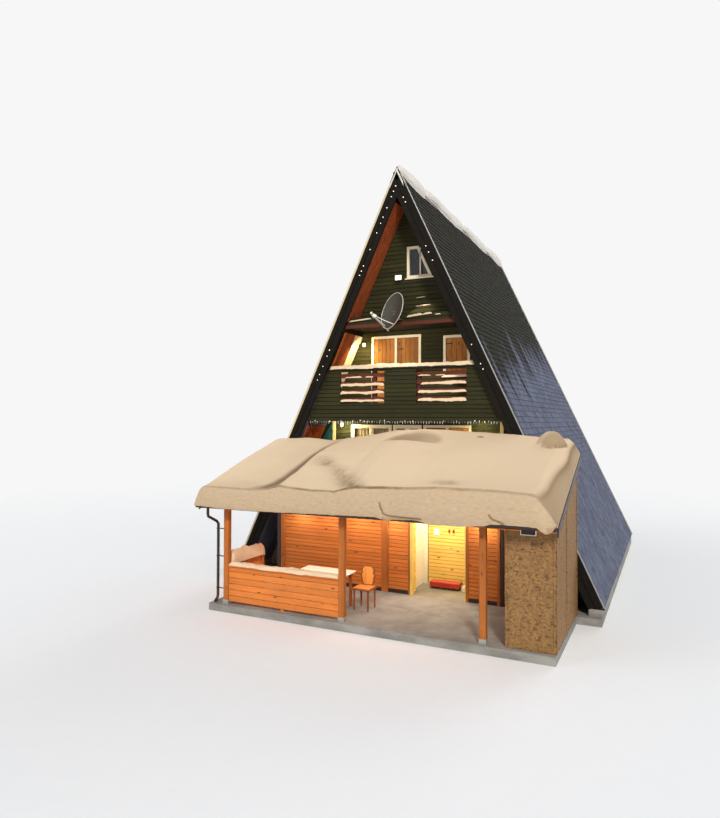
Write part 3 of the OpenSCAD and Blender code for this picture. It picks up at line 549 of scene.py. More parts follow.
class Shape:
    """Points and faces gathered for one piece, each face with its tone and its material"""

    def __init__(self):
        self.points = []
        self.faces = []
        self.tones = []
        self.marks = []
        self.coats = []
        self.soft = []
        self.at = None
        self.coat = 0

    def add(self, points, faces, tone, soft):
        first = len(self.points)
        if self.at is not None:
            points = [self.at @ Vector(p) for p in points]
        self.points.extend(tuple(p) for p in points)
        self.faces.extend(tuple(first + i for i in face) for face in faces)
        self.tones.extend([tone] * len(faces))
        self.coats.extend([self.coat] * len(faces))
        self.soft.extend([soft] * len(faces))

    def loft(self, rings, tone=0.0, soft=False, caps=True):
        """Joins rings of points, each ring closed, and shuts both ends"""
        count = len(rings[0])
        faces = []
        for i in range(len(rings) - 1):
            for j in range(count):
                k = (j + 1) % count
                faces.append((i * count + j, i * count + k, (i + 1) * count + k, (i + 1) * count + j))
        if caps:
            faces.append(tuple(range(count - 1, -1, -1)))
            faces.append(tuple(range((len(rings) - 1) * count, len(rings) * count)))
        self.add([p for ring in rings for p in ring], faces, tone, soft)

    def bar(self, low, high, edge, tone=0.0, along=None, ends=None):
        """A board with eased edges; its ends may follow a slope"""
        size = [high[i] - low[i] for i in range(3)]
        if along is None:
            along = size.index(max(size))
        a, b = (along + 1) % 3, (along + 2) % 3
        e = min(edge, 0.45 * size[a], 0.45 * size[b])
        a0, a1, b0, b1 = low[a], high[a], low[b], high[b]
        section = [(a0 + e, b0), (a1 - e, b0), (a1, b0 + e), (a1, b1 - e),
                   (a1 - e, b1), (a0 + e, b1), (a0, b1 - e), (a0, b0 + e)]
        rings = []
        for k, stop in enumerate((low[along], high[along])):
            ring = []
            for u, v in section:
                point = [0.0, 0.0, 0.0]
                point[a] = u
                point[b] = v
                point[along] = ends[k](v) if ends else stop
                ring.append(point)
            rings.append(ring)
        self.loft(rings, tone)

    def plate(self, outline, y0, y1, tone=0.0):
        """An outline in x and z with a thickness in y"""
        self.loft([[(x, y, z) for x, z in outline] for y in (y0, y1)], tone)

    def tube(self, path, radius, sides=10, tone=0.0, caps=True):
        path = [Vector(p) for p in path]
        radii = radius if isinstance(radius, (list, tuple)) else [radius] * len(path)
        side = None
        rings = []
        for i, spot in enumerate(path):
            ahead = (path[min(i + 1, len(path) - 1)] - path[max(i - 1, 0)]).normalized()
            if side is None:
                side = ahead.orthogonal().normalized()
            side = (side - ahead * side.dot(ahead)).normalized()
            up = ahead.cross(side)
            turns = [2 * pi * k / sides for k in range(sides)]
            rings.append([spot + (side * cos(t) + up * sin(t)) * radii[i] for t in turns])
        self.loft(rings, tone, soft=True, caps=caps)

    def lathe(self, profile, sides, tone=0.0, place=None):
        """Turns (radius, height) pairs round an axis"""
        keep = self.at
        if place is not None:
            self.at = place if keep is None else keep @ place
        turns = [2 * pi * k / sides for k in range(sides)]
        self.loft([[(r * cos(t), r * sin(t), h) for t in turns] for r, h in profile], tone, soft=True)
        self.at = keep

    def take(self, mesh, matrix=None):
        """Adds a mesh that Geometry Nodes made"""
        tones = mesh.attributes.get("tone")
        per_point = tones is not None and tones.domain == "POINT"
        points = [matrix @ v.co if matrix else v.co for v in mesh.vertices]
        first = len(self.points)
        self.points.extend(tuple(p) for p in points)
        for face in mesh.polygons:
            self.faces.append(tuple(first + i for i in face.vertices))
            tone = tones.data[face.vertices[0]].value if per_point else 0.0
            self.tones.append(tone)
            self.coats.append(self.coat)
            self.soft.append(face.use_smooth)
        bpy.data.meshes.remove(mesh)

    def done(self, name, coats, slot, body="house", hides=(), crisp=35):
        mesh = bpy.data.meshes.new(name)
        mesh.from_pydata(self.points, [], self.faces)
        for coat in paints(*coats):
            mesh.materials.append(coat)
        mesh.polygons.foreach_set("material_index", self.coats)
        mesh.polygons.foreach_set("use_smooth", self.soft)
        layer = mesh.attributes.new("tone", "FLOAT", "POINT" if self.marks else "FACE")
        layer.data.foreach_set("value", self.marks or self.tones)
        work = bmesh.new()
        work.from_mesh(mesh)
        bmesh.ops.recalc_face_normals(work, faces=work.faces)
        work.to_mesh(mesh)
        work.free()
        mesh.set_sharp_from_angle(angle=radians(crisp))
        piece = bpy.data.objects.new(name, mesh)
        bpy.context.scene.collection.objects.link(piece)
        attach(piece, body)
        if hides:
            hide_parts(*hides)
        return piece


class Grower(Nodes):
    """A Geometry Nodes tree with named sizes, whose result becomes a plain mesh"""

    prefix = "GeometryNode"
    kinds = {int: "NodeSocketInt", float: "NodeSocketFloat", tuple: "NodeSocketVector"}

    def __init__(self, name, sizes):
        self.tree = bpy.data.node_groups.new(name, "GeometryNodeTree")
        face = self.tree.interface
        face.new_socket("Geometry", in_out="INPUT", socket_type="NodeSocketGeometry")
        face.new_socket("Geometry", in_out="OUTPUT", socket_type="NodeSocketGeometry")
        self.names = {}
        for label, value in sizes.items():
            made = face.new_socket(label, in_out="INPUT", socket_type=self.kinds[type(value)])
            made.default_value = value
            self.names[label] = made.identifier
        self.entry = self.tree.nodes.new("NodeGroupInput")
        self.exit = self.tree.nodes.new("NodeGroupOutput")
        self.sizes = sizes

    def size(self, label):
        return Wave(self, self.entry.outputs[label])

    def chance(self, low, high, step):
        """A random value for each instance, from the tree's seed moved on by a step"""
        values = {2: low, 3: high, "Seed": self.size("Seed") + step}
        return self.node("FunctionNodeRandomValue", {"data_type": "FLOAT"}, values, out=1)

    def end(self, placed, coat, step):
        """Gives each instance a tone, makes the instances real and sets their material"""
        settings = {"data_type": "FLOAT", "domain": "INSTANCE"}
        values = {"Geometry": placed, "Name": "tone", "Value": self.chance(-1.0, 1.0, step)}
        whole = self.node("RealizeInstances", {}, {0: self.node("StoreNamedAttribute", settings, values)})
        named = self.node("SetMaterial", {}, {"Geometry": whole, "Material": coat})
        self.feed(self.exit.inputs[0], named)

    def grow(self, source=None, **sizes):
        """The tree's result on a source mesh, as a plain mesh"""
        base = source or bpy.data.meshes.new("seed")
        carrier = bpy.data.objects.new("carrier", base)
        bpy.context.scene.collection.objects.link(carrier)
        modifier = carrier.modifiers.new("grow", "NODES")
        modifier.node_group = self.tree
        for label, value in {**self.sizes, **sizes}.items():
            modifier[self.names[label]] = value
        bpy.context.view_layer.update()
        graph = bpy.context.evaluated_depsgraph_get()
        mesh = bpy.data.meshes.new_from_object(carrier.evaluated_get(graph), depsgraph=graph)
        carrier.modifiers.remove(modifier)
        bpy.data.objects.remove(carrier)
        return mesh


def mesh_of(shape):
    """A bare mesh of a shape, as the source of a tree"""
    mesh = bpy.data.meshes.new("element")
    mesh.from_pydata(shape.points, [], shape.faces)
    mesh.polygons.foreach_set("use_smooth", shape.soft)
    return mesh


def repeat_tree(coat):
    """Repeats its input along a step, with a little seeded change of place, size and tone"""
    tree = Grower("repeat along a line", {
        "Count": 5, "Start": (0.0, 0.0, 0.0), "Step": (0.1, 0.0, 0.0), "Wobble": 0.0,
        "Smallest": 1.0, "Largest": 1.0, "Turn": 0.0, "Seed": 1})
    values = {"Count": tree.size("Count"), "Start Location": tree.size("Start"), "Offset": tree.size("Step")}
    line = tree.node("MeshLine", {}, values)
    away = tree.node("FunctionNodeRandomValue", {"data_type": "FLOAT_VECTOR"},
                     {0: (-1.0, -1.0, -1.0), 1: (1.0, 1.0, 1.0), "Seed": tree.size("Seed")})
    moved = tree.node("ShaderNodeVectorMath", {"operation": "SCALE"},
                      {0: away, "Scale": tree.size("Wobble")})
    line = tree.node("SetPosition", {}, {"Geometry": line, "Offset": moved})
    scale = tree.chance(tree.size("Smallest"), tree.size("Largest"), 3)
    spin = tree.chance(tree.size("Turn") * -1, tree.size("Turn"), 5)
    turned = tree.node("ShaderNodeCombineXYZ", {}, {2: spin})
    source = Wave(tree, tree.entry.outputs[0])
    values = {"Points": line, "Instance": source, "Rotation": turned, "Scale": scale}
    tree.end(tree.node("InstanceOnPoints", {}, values), coat, 7)
    return tree


def shingle_tree(coat):
    """Courses of overlapping shingles on a flat slope, every other course moved half a shingle"""
    tree = Grower("shingle courses", {
        "Courses": 70, "Across": 34, "Course": 0.15, "Width": 0.29, "Thickness": 0.012,
        "Lift": 0.085, "Seed": 4})
    course, width = tree.size("Course"), tree.size("Width")
    values = {"Size X": width * (tree.size("Across") - 1), "Size Y": course * (tree.size("Courses") - 1),
              "Vertices X": tree.size("Across"), "Vertices Y": tree.size("Courses")}
    grid = tree.node("MeshGrid", {}, values)
    index = tree.node("InputIndex")
    row = tree.maths("FLOORED_MODULO", index, tree.size("Courses"))
    odd = tree.maths("FLOORED_MODULO", row, 2.0)
    loose = tree.chance(-0.018, 0.018, 0)
    offset = tree.node("ShaderNodeCombineXYZ", {}, {0: (odd - 0.5) * width * 0.5 + loose, 1: loose * 0.3})
    points = tree.node("SetPosition", {}, {"Geometry": grid, "Offset": offset})
    size = tree.node("ShaderNodeCombineXYZ", {}, {0: width * 0.985, 1: course * 1.7,
                                                  2: tree.size("Thickness")})
    tab = tree.node("MeshCube", {}, {"Size": size})
    tilt = tree.chance(-0.012, 0.012, 2)
    turned = tree.node("ShaderNodeCombineXYZ", {}, {0: tilt - tree.size("Lift"), 2: tilt * 0.8})
    placed = tree.node("InstanceOnPoints", {}, {"Points": points, "Instance": tab, "Rotation": turned})
    tree.end(placed, coat, 9)
    return tree


def clad(shape, y0, y1, z0, z1, left, right, holes, board, gap, luck):
    """Rows of boards on an upright wall, cut to its slanted sides and round its windows"""
    z = z0
    while z < z1 - 0.02:
        top = min(z + board, z1)
        cuts = [h for h in sorted(holes, key=lambda h: h[0](z)) if h[2] < top and h[3] > z]
        stops = [left] + [f for h in cuts for f in (h[0], h[1])] + [right]
        for start, stop in zip(stops[::2], stops[1::2]):
            tone = luck.uniform(-1, 1)
            if stop(z) - start(z) > 0.01:
                shape.bar((0, y0, z), (1, y1, top - gap), 0.006, tone, 0, (start, stop))
        for h in cuts:
            for low, high in ((z, h[2]), (h[3], top)):
                if high - low > 0.012:
                    last = high - (gap if high == top else 0)
                    shape.bar((0, y0, low), (1, y1, last), 0.006, luck.uniform(-1, 1), 0, h[:2])
        z += board


def holes_of(windows):
    """Windows as holes for clad, each with its two sides as functions of the height"""
    return [((lambda z, x=w[0]: x), (lambda z, x=w[1]: x), w[2], w[3]) for w in windows]


def frame_at(across, up, out, spot):
    """A frame at a spot from its three axes"""
    matrix = Matrix((across, up, out)).transposed().to_4x4()
    matrix.translation = spot
    return matrix


def slope_axes(side):
    """The directions up a roof slope and out of it"""
    return (Vector((-side * cos(STEEP), 0, sin(STEEP))),
            Vector((side * sin(STEEP), 0, cos(STEEP))))


def soffit_frame(side):
    """A frame on the inside of a roof slope, y up and z into the house, and the way of its x along y"""
    up, out = slope_axes(side)
    across = up.cross(-out)
    return frame_at(across, up, -out, Vector((side * half_out(0), 0, 0)) - out * ROOF_THICK), across.y


def verge_frame(side, y, way):
    """A frame at the foot of a slope's front or rear edge, y up the slope and z out of it"""
    return frame_at(Vector((0, way, 0)), *slope_axes(side), Vector((side * half_out(FOOT_Z), y, FOOT_Z)))


def rough_noise(point, scale, seed, octaves=4):
    """Noise in several octaves at a point"""
    spot = Vector((point[0] * scale + seed, point[1] * scale - seed, point[2] * scale + 2 * seed))
    return noise.fractal(spot, 0.8, 2.0, octaves)


def drift(shape, path, width, height, seed, steps, ragged, droop=0.0):
    """A ridge of snow along a line: round on top, flat below, with uneven height and edges"""
    path = [Vector(p) for p in path]
    lengths = [0.0]
    for a, b in zip(path, path[1:]):
        lengths.append(lengths[-1] + (b - a).length)
    total = lengths[-1]
    steps = steps or max(6, int(total / 0.035))
    section = [(-0.5, 0.0), (-0.5, 0.45), (-0.38, 0.8), (-0.15, 1.0), (0.15, 1.0), (0.38, 0.8),
               (0.5, 0.45), (0.5, 0.0)]
    rings = []
    for i in range(steps + 1):
        s = total * i / steps
        k = max(j for j, length in enumerate(lengths[:-1]) if length <= s + 1e-9)
        share = (s - lengths[k]) / max(1e-9, lengths[k + 1] - lengths[k])
        spot = path[k].lerp(path[k + 1], share)
        ahead = (path[k + 1] - path[k]).normalized()
        side = ahead.cross(Vector((0, 0, 1))).normalized()
        end = min(1.0, (min(s, total - s) + 0.004) / (0.6 * max(width, height)))
        swell = sqrt(max(0.02, 1 - (1 - end) ** 2))
        ring = []
        for u, v in section:
            jig = rough_noise(spot + Vector((u * 0.3, u, v * 0.3)), 5.0, seed)
            low = rough_noise(spot + Vector((u, 0, 0)), 2.1, seed + 4)
            rise = height * v * swell * (1 + ragged * (jig * 0.6 + low))
            reach = width * u * (0.55 + 0.45 * swell) * (1 + 0.25 * ragged * jig)
            drop = droop * (abs(u) > 0.45) * max(0.0, jig + low) if v < 0.3 else 0.0
            ring.append(spot + side * reach + Vector((0, 0, rise - drop)))
        rings.append(ring)
    shape.loft(rings, soft=True)


# Pieces of the steep house


class CABIN_OT_roof(bpy.types.Operator):
    """Shingle courses on both slopes, and the verge flashings"""

    bl_idname = "cabin.roof"
    bl_label = "Roof covering"

    def execute(self, context):
        sizes = context.scene.cabin_sizes
        tree = shingle_tree(paints("shingles")[0])
        slope = (RIDGE_Z - FOOT_Z) / sin(STEEP)
        courses = int((slope - 0.14) / sizes.course)
        across = int((HOUSE_END - 0.16) / sizes.shingle)
        for side, name in ((1, "right"), (-1, "left")):
            mesh = tree.grow(Courses=courses, Across=across, Course=sizes.course,
                             Width=(HOUSE_END - 0.18) / (across + 0.25), Seed=4 + side)
            up, out = slope_axes(side)
            foot = Vector((side * half_out(FOOT_Z), HOUSE_END / 2, FOOT_Z))
            middle = foot + up * (slope / 2 - 0.03) + out * 0.013
            cover = Shape()
            cover.take(mesh, frame_at(up.cross(out), up, out, middle))
            cover.done("shingles_" + name, ["shingles"], "roof_sheet")
        trim = Shape()
        length = slope - 0.06
        for side in (1, -1):
            for y, way in ((0.0, 1), (HOUSE_END, -1)):
                trim.at = verge_frame(side, y, way)
                trim.coat = 0
                for x0, x1, z0, z1, tone in ((-0.05, 0.018, 0.030, 0.042, 0.4),
                                             (0.062, 0.078, 0.012, 0.036, 0.5),
                                             (0.014, 0.066, 0.014, 0.024, -0.6)):
                    trim.bar((x0, 0.02, z0), (x1, length, z1), 0.003, tone)
                trim.coat = 1
                trim.bar((-0.052, 0.02, -0.02), (-0.041, length, 0.034), 0.002, -0.3)
        trim.done("verge_flashing", ["flashing", "metal"], "roof_sheet")
        return {"FINISHED"}


class CABIN_OT_siding(bpy.types.Operator):
    """Horizontal siding on the front walls, the balcony front, the beam and the rear walls"""

    bl_idname = "cabin.siding"
    bl_label = "Siding boards"

    def execute(self, context):
        sizes = context.scene.cabin_sizes
        luck = random.Random(11)
        board, gap = sizes.siding, sizes.groove
        left = lambda z: -half_in(z) + 0.002
        right = lambda z: half_in(z) - 0.002
        gable_hole = ((lambda z: 0.0), gable_window_right, GABLE_SILL, GABLE_HEAD)
        front = Shape()
        clad(front, GABLE_Y - SIDING_T, GABLE_Y, LOFT_Z, GABLE_TOP - 0.12, left, right,
             [gable_hole], board, gap, luck)
        clad(front, WALL_Y - SIDING_T, WALL_Y, UPPER_Z, LOFT_Z - FLOOR_T, left, right,
             holes_of(UPPER_WINDOWS), board, gap, luck)
        clad(front, WALL_Y - SIDING_T, WALL_Y, MAIN_Z + 1.5, UPPER_Z - FLOOR_T,
             lambda z: max(-half_in(z) + 0.002, -2.25), lambda z: min(half_in(z) - 0.002, 2.25),
             holes_of(MAIN_WINDOWS), board, gap, luck)
        front.done("front_siding", ["siding"], "dark_boards")
        balcony = Shape()
        clad(balcony, PARAPET_Y - 0.02, PARAPET_Y, UPPER_Z - FLOOR_T, PARAPET_TOP, left, right,
             holes_of([(*b, *SLAT_Z) for b in SLAT_BAYS]), board * 0.95, gap, luck)
        clad(balcony, PARAPET_Y - 0.02, PARAPET_Y, LOFT_Z - FLOOR_T, LOFT_Z, left, right, [],
             0.11, gap, luck)
        balcony.done("balcony_siding", ["siding"], "dark_boards")
        rear = Shape()
        for z0, z1 in ((MAIN_Z - FLOOR_T, UPPER_Z - FLOOR_T), (UPPER_Z - FLOOR_T, LOFT_Z - FLOOR_T)):
            clad(rear, REAR_Y, REAR_Y + SIDING_T, z0, z1, left, right, holes_of(REAR_WINDOWS),
                 board, gap, luck)
        clad(rear, REAR_Y, REAR_Y + SIDING_T, LOFT_Z - FLOOR_T, GABLE_TOP - 0.12, left, right,
             [gable_hole], board, gap, luck)
        rear.done("rear_siding", ["siding"], "dark_boards")
        return {"FINISHED"}


class CABIN_OT_trim(bpy.types.Operator):
    """Soffit lining, barge covers, cream trims, side panes, and the strip and rime on the beam"""

    bl_idname = "cabin.trim"
    bl_label = "Soffits and trims"

    # Rime on the beam and on the gable, as left, right, height of both ends, y, width and height
    streaks = (
        (-1.30, -0.72, 6.575, 6.615, PARAPET_Y - 0.03, 0.05, 0.030),
        (0.22, 0.60, 6.59, 6.625, PARAPET_Y - 0.03, 0.05, 0.045),
        (0.60, 0.84, 6.625, 6.64, PARAPET_Y - 0.03, 0.05, 0.035),
        (0.92, 1.05, 6.61, 6.61, PARAPET_Y - 0.03, 0.03, 0.02),
        (0.24, 0.62, 6.93, 6.95, GABLE_Y - 0.022, 0.03, 0.016),
        (0.26, 0.48, 7.14, 7.15, GABLE_Y - 0.022, 0.03, 0.014),
        (0.30, 0.62, 7.66, 7.66, GABLE_Y - 0.055, 0.03, 0.02))

    def execute(self, context):
        luck = random.Random(5)
        reach = 1 / sin(STEEP)
        balcony_low, balcony_high = UPPER_Z + 0.01, LOFT_Z - FLOOR_T - 0.01
        # Fields of the lining, as y from and to, and height from and to
        runs = ((0.012, GABLE_Y - 0.02, LOFT_Z + 0.02, GABLE_TOP - 0.05),
                (PARAPET_Y + 0.055, GABLE_Y + 0.1, balcony_low, balcony_high),
                (PARAPET_Y + 0.055, WALL_Y - 0.03, SEEN_LOW, UPPER_Z - FLOOR_T - 0.01),
                (REAR_Y + 0.02, HOUSE_END - 0.01, 0.35, GABLE_TOP - 0.05))
        lining = Shape()
        for side in (-1, 1):
            lining.at, way = soffit_frame(side)
            for y0, y1, z0, z1 in runs:
                count = max(1, round((y1 - y0) / 0.115))
                step = (y1 - y0) / count
                for i in range(count):
                    a, b = y0 + i * step, y0 + (i + 1) * step - 0.006
                    if way < 0:
                        a, b = -b, -a
                    lining.bar((a, z0 * reach, 0.0), (b, z1 * reach, 0.016), 0.005, luck.uniform(-1, 1), 1)
        lining.done("soffit_boards", ["soffit"], "shutter_wood")
        cream = Shape()
        y0, y1 = GABLE_Y + 0.12, WALL_Y - 0.025
        for side in (-1, 1):
            cream.at, way = soffit_frame(side)
            a, b = (y0, y1) if way > 0 else (-y1, -y0)
            cream.bar((a, balcony_low * reach, 0.0), (b, balcony_high * reach, 0.020), 0.006, 0.2, 1)
        cream.at = None
        cream.coat = 1
        # Pale strip down the left barge board's outer edge: a painted highlight, where the light catches the
        # edge
        y = lows("front_barge").y - 0.024
        heights = np.linspace(0.6, RIDGE_Z - 0.30, 24)
        for ends in zip(heights, heights[1:]):
            cream.loft([[(-half_out(z) + x, y + back, z)
                         for x, back in ((-0.030, 0), (0.010, 0), (0.010, 0.03), (-0.030, 0.03))]
                        for z in ends])
        for x in (-2.29, 2.22):
            cream.bar((x - 0.045, WALL_Y - 0.05, SEEN_LOW), (x + 0.045, WALL_Y, UPPER_Z - FLOOR_T),
                      0.006, 0.3)
        cream.done("cream_trims", ["cream", "verge"], "frame_paint")
        panes = Shape()
        top = UPPER_Z - FLOOR_T - 0.03
        for side in (-1, 1):
            corners = ((2.335, SEEN_LOW), (half_in(SEEN_LOW) - 0.01, SEEN_LOW), (2.345, top), (2.335, top))
            panes.plate([(side * x, z) for x, z in corners], WALL_Y - 0.02, WALL_Y - 0.005)
        panes.done("side_panes", ["teal"], "window_glass")
        bands = Shape()
        low = LOFT_Z - FLOOR_T
        ends = (lambda z: -half_in(z) + 0.004, lambda z: half_in(z) - 0.004)
        bands.bar((0, PARAPET_Y - 0.032, low - 0.045), (1, PARAPET_Y + 0.03, low + 0.035),
                  0.006, 0.5, 0, ends)
        bands.done("beam_strip", ["slat"], "red_slats")
        frost = Shape()
        for k, (x0, x1, z0, z1, y, wide, high) in enumerate(self.streaks):
            path = [(x0, y, z0), ((x0 + x1) / 2, y, (z0 + z1) / 2), (x1, y, z1)]
            drift(frost, path, wide, high, 30 + k, None, 0.5)
        frost.done("beam_frost", ["snow"], "snow")
        cover = Shape()
        slope = (RIDGE_Z - FOOT_Z) / sin(STEEP)
        for side in (1, -1):
            for y, way in ((-0.04, 1), (HOUSE_END + 0.04, -1)):
                cover.at = verge_frame(side, y, way)
                cover.bar((-0.018, 0.06, -0.12), (0.0, slope - 0.02, 0.030), 0.005, luck.uniform(-1, 1), 1)
                cover.bar((-0.009, 0.1, -0.268), (0.0, slope - 0.6, -0.14), 0.005, luck.uniform(-1, 1), 1)
        cover.done("barge_covers", ["barge"], "barge_boards")
        return {"FINISHED"}


def sash(shape, x0, x1, z0, z1, y0, y1, width, tone=0.0):
    """A rectangular ring of four members"""
    shape.bar((x0, y0, z0), (x0 + width, y1, z1), 0.005, tone, 2)
    shape.bar((x1 - width, y0, z0), (x1, y1, z1), 0.005, tone, 2)
    shape.bar((x0 + width, y0, z0), (x1 - width, y1, z0 + width), 0.005, tone, 0)
    shape.bar((x0 + width, y0, z1 - width), (x1 - width, y1, z1), 0.005, tone, 0)


def leaves_of(place, count):
    """Left and right of each leaf between a window's frame and mullions"""
    x0, x1 = place[:2]
    wide = (x1 - x0 - FRAME_W * (count + 1)) / count
    return [(x0 + FRAME_W + i * (wide + FRAME_W), x0 + FRAME_W + i * (wide + FRAME_W) + wide)
            for i in range(count)]


class CABIN_OT_windows(bpy.types.Operator):
    """Sashes and sills, boards and hinges of the shutters, and the curtain on its rail"""

    bl_idname = "cabin.windows"
    bl_label = "Windows and shutters"

    def execute(self, context):
        sizes = context.scene.cabin_sizes
        luck = random.Random(21)
        frames, shutters, irons = Shape(), Shape(), Shape()
        # Gap between a frame and the boards of its shutter
        inner = 0.010
        fronts = [(MAIN_WINDOWS[0], 2), (MAIN_WINDOWS[1], 2), (MAIN_WINDOWS[2], 2),
                  (UPPER_WINDOWS[0], 2), (UPPER_WINDOWS[1], 1)]
        shut = fronts[2:]
        rows = [(*front, front in shut, 0.6 * sizes.sash, WALL_Y - 0.012, WALL_Y - 0.06) for front in fronts]
        rows += [(place, 2, False, sizes.sash, REAR_Y - 0.038, REAR_Y + 0.016) for place in REAR_WINDOWS]
        for place, count, closed, width, y, sill_y in rows:
            for x0, x1 in [] if closed else leaves_of(place, count):
                sash(frames, x0, x1, place[2] + FRAME_W, place[3] - FRAME_W, y, y + 0.05, width, 0.1)
            frames.bar((place[0] - 0.03, sill_y, place[2] - 0.028),
                       (place[1] + 0.03, sill_y + 0.044, place[2]), 0.006, 0.2)
        for y0, y1 in ((GABLE_Y - 0.05, GABLE_Y - 0.018), (REAR_Y + 0.018, REAR_Y + 0.05)):
            wide = gable_window_right(GABLE_SILL)
            frames.bar((-0.04, y0, GABLE_SILL - 0.03), (wide + 0.04, y1, GABLE_SILL), 0.006, 0.2)
            frames.bar((0.33, y0 + 0.03, GABLE_SILL + 0.05), (0.365, y1 + 0.03, GABLE_HEAD - 0.05), 0.005, 0)
        frames.done("window_sashes", ["cream"], "frame_paint")
        for k, (place, count) in enumerate(shut):
            z0, z1 = place[2] + FRAME_W, place[3] - FRAME_W
            for n, (x0, x1) in enumerate(leaves_of(place, count)):
                shutters.coat = 1 if (k, n) == (0, 1) else 0
                boards = max(3, round((x1 - x0) / 0.13))
                step = (x1 - x0 - 2 * inner) / boards
                for i in range(boards):
                    a = x0 + inner + i * step
                    shutters.bar((a, WALL_Y + 0.004, z0 + inner),
                                 (a + step - 0.004, WALL_Y + 0.024, z1 - inner),
                                 0.004, luck.uniform(-1, 1), 2)
                for share in (0.16, 0.84):
                    z = z0 + share * (z1 - z0)
                    irons.bar((x0 + inner, WALL_Y - 0.002, z - 0.014),
                              (x0 + inner + 0.16, WALL_Y + 0.004, z + 0.014), 0.002)
        shutters.done("shutter_boards", ["shutter", "tan"], "shutter_wood", hides=("front_shutters",))
        irons.done("shutter_hinges", ["black"], "brown_metal")
        place = MAIN_WINDOWS[0]
        x0, x1, z0, z1 = place[0] + 0.07, place[1] - 0.07, place[2] + 0.05, place[3] - 0.08
        cloth, rail = Shape(), Shape()
        columns, rows = 150, 14
        rail_y = WALL_Y + 0.115
        grid = []
        for j in range(rows + 1):
            z = z1 - (z1 - z0) * j / rows
            depth = 0.016 + 0.010 * j / rows
            line = []
            for i in range(columns + 1):
                s = i / columns
                fold = sin(s * 2 * pi * 11 + 0.6 * sin(9 * s))
                line.append((x0 + s * (x1 - x0), rail_y + depth * fold, z))
            grid.append(line)
        wide = columns + 1
        corners = [j * wide + i for j in range(rows) for i in range(columns)]
        cloth.add([p for line in grid for p in line], [(a, a + 1, a + wide + 1, a + wide) for a in corners],
                  0.0, True)
        curtain = cloth.done("curtain", ["curtain"], "frame_paint")
        rail.tube([(x0 - 0.03, rail_y, z1 + 0.012), (x1 + 0.03, rail_y, z1 + 0.012)], 0.011)
        rail.done("curtain_rail", ["steel"], "bracket_steel")
        z1 - z0
        return {"FINISHED"}


class CABIN_OT_balcony(bpy.types.Operator):
    """Posts behind the slats, and the snow on capping and slats"""

    bl_idname = "cabin.balcony"
    bl_label = "Balcony"

    def execute(self, context):
        posts, snow = Shape(), Shape()
        for x0, x1 in ((-0.74, -0.61), (0.43, 0.54)):
            posts.bar((x0, PARAPET_Y + 0.052, UPPER_Z), (x1, PARAPET_Y + 0.12, PARAPET_TOP), 0.008, 0.2)
        posts.done("balcony_posts", ["slat"], "red_slats")
        middle = (CAP_LOW.y + CAP_HIGH.y) / 2
        reach = half_in(CAP_HIGH.z) - 0.03
        xs = np.linspace(-reach, reach, 9)
        drift(snow, [(x, middle, CAP_HIGH.z - 0.004) for x in xs], 0.165, 0.082, 3.1, 120, 0.35, 0.02)
        luck = random.Random(8)
        y = PARAPET_Y + 0.01
        step = (SLAT_Z[1] - SLAT_Z[0]) / 4
        for bay, (x0, x1) in enumerate(SLAT_BAYS):
            for i in range(4):
                z = SLAT_Z[0] + i * step + (step - 0.095) / 2 - 0.004
                if i == 3:
                    for part in range(3):
                        a = luck.uniform(x0, x1 - 0.5)
                        b = a + luck.uniform(0.15, 0.4)
                        drift(snow, [(a, y, z), (b, y, z)], 0.05, 0.028, luck.uniform(0, 50), None, 0.5)
                else:
                    a = x0 + 0.01 + luck.uniform(0, 0.12) * bay
                    drift(snow, [(a, y, z), (x1 - 0.01, y, z)], 0.062, 0.05, luck.uniform(0, 50), None,
                          0.45, 0.02)
        snow.done("balcony_snow_drifts", ["snow"], "snow", hides=("balcony_snow",))
        return {"FINISHED"}


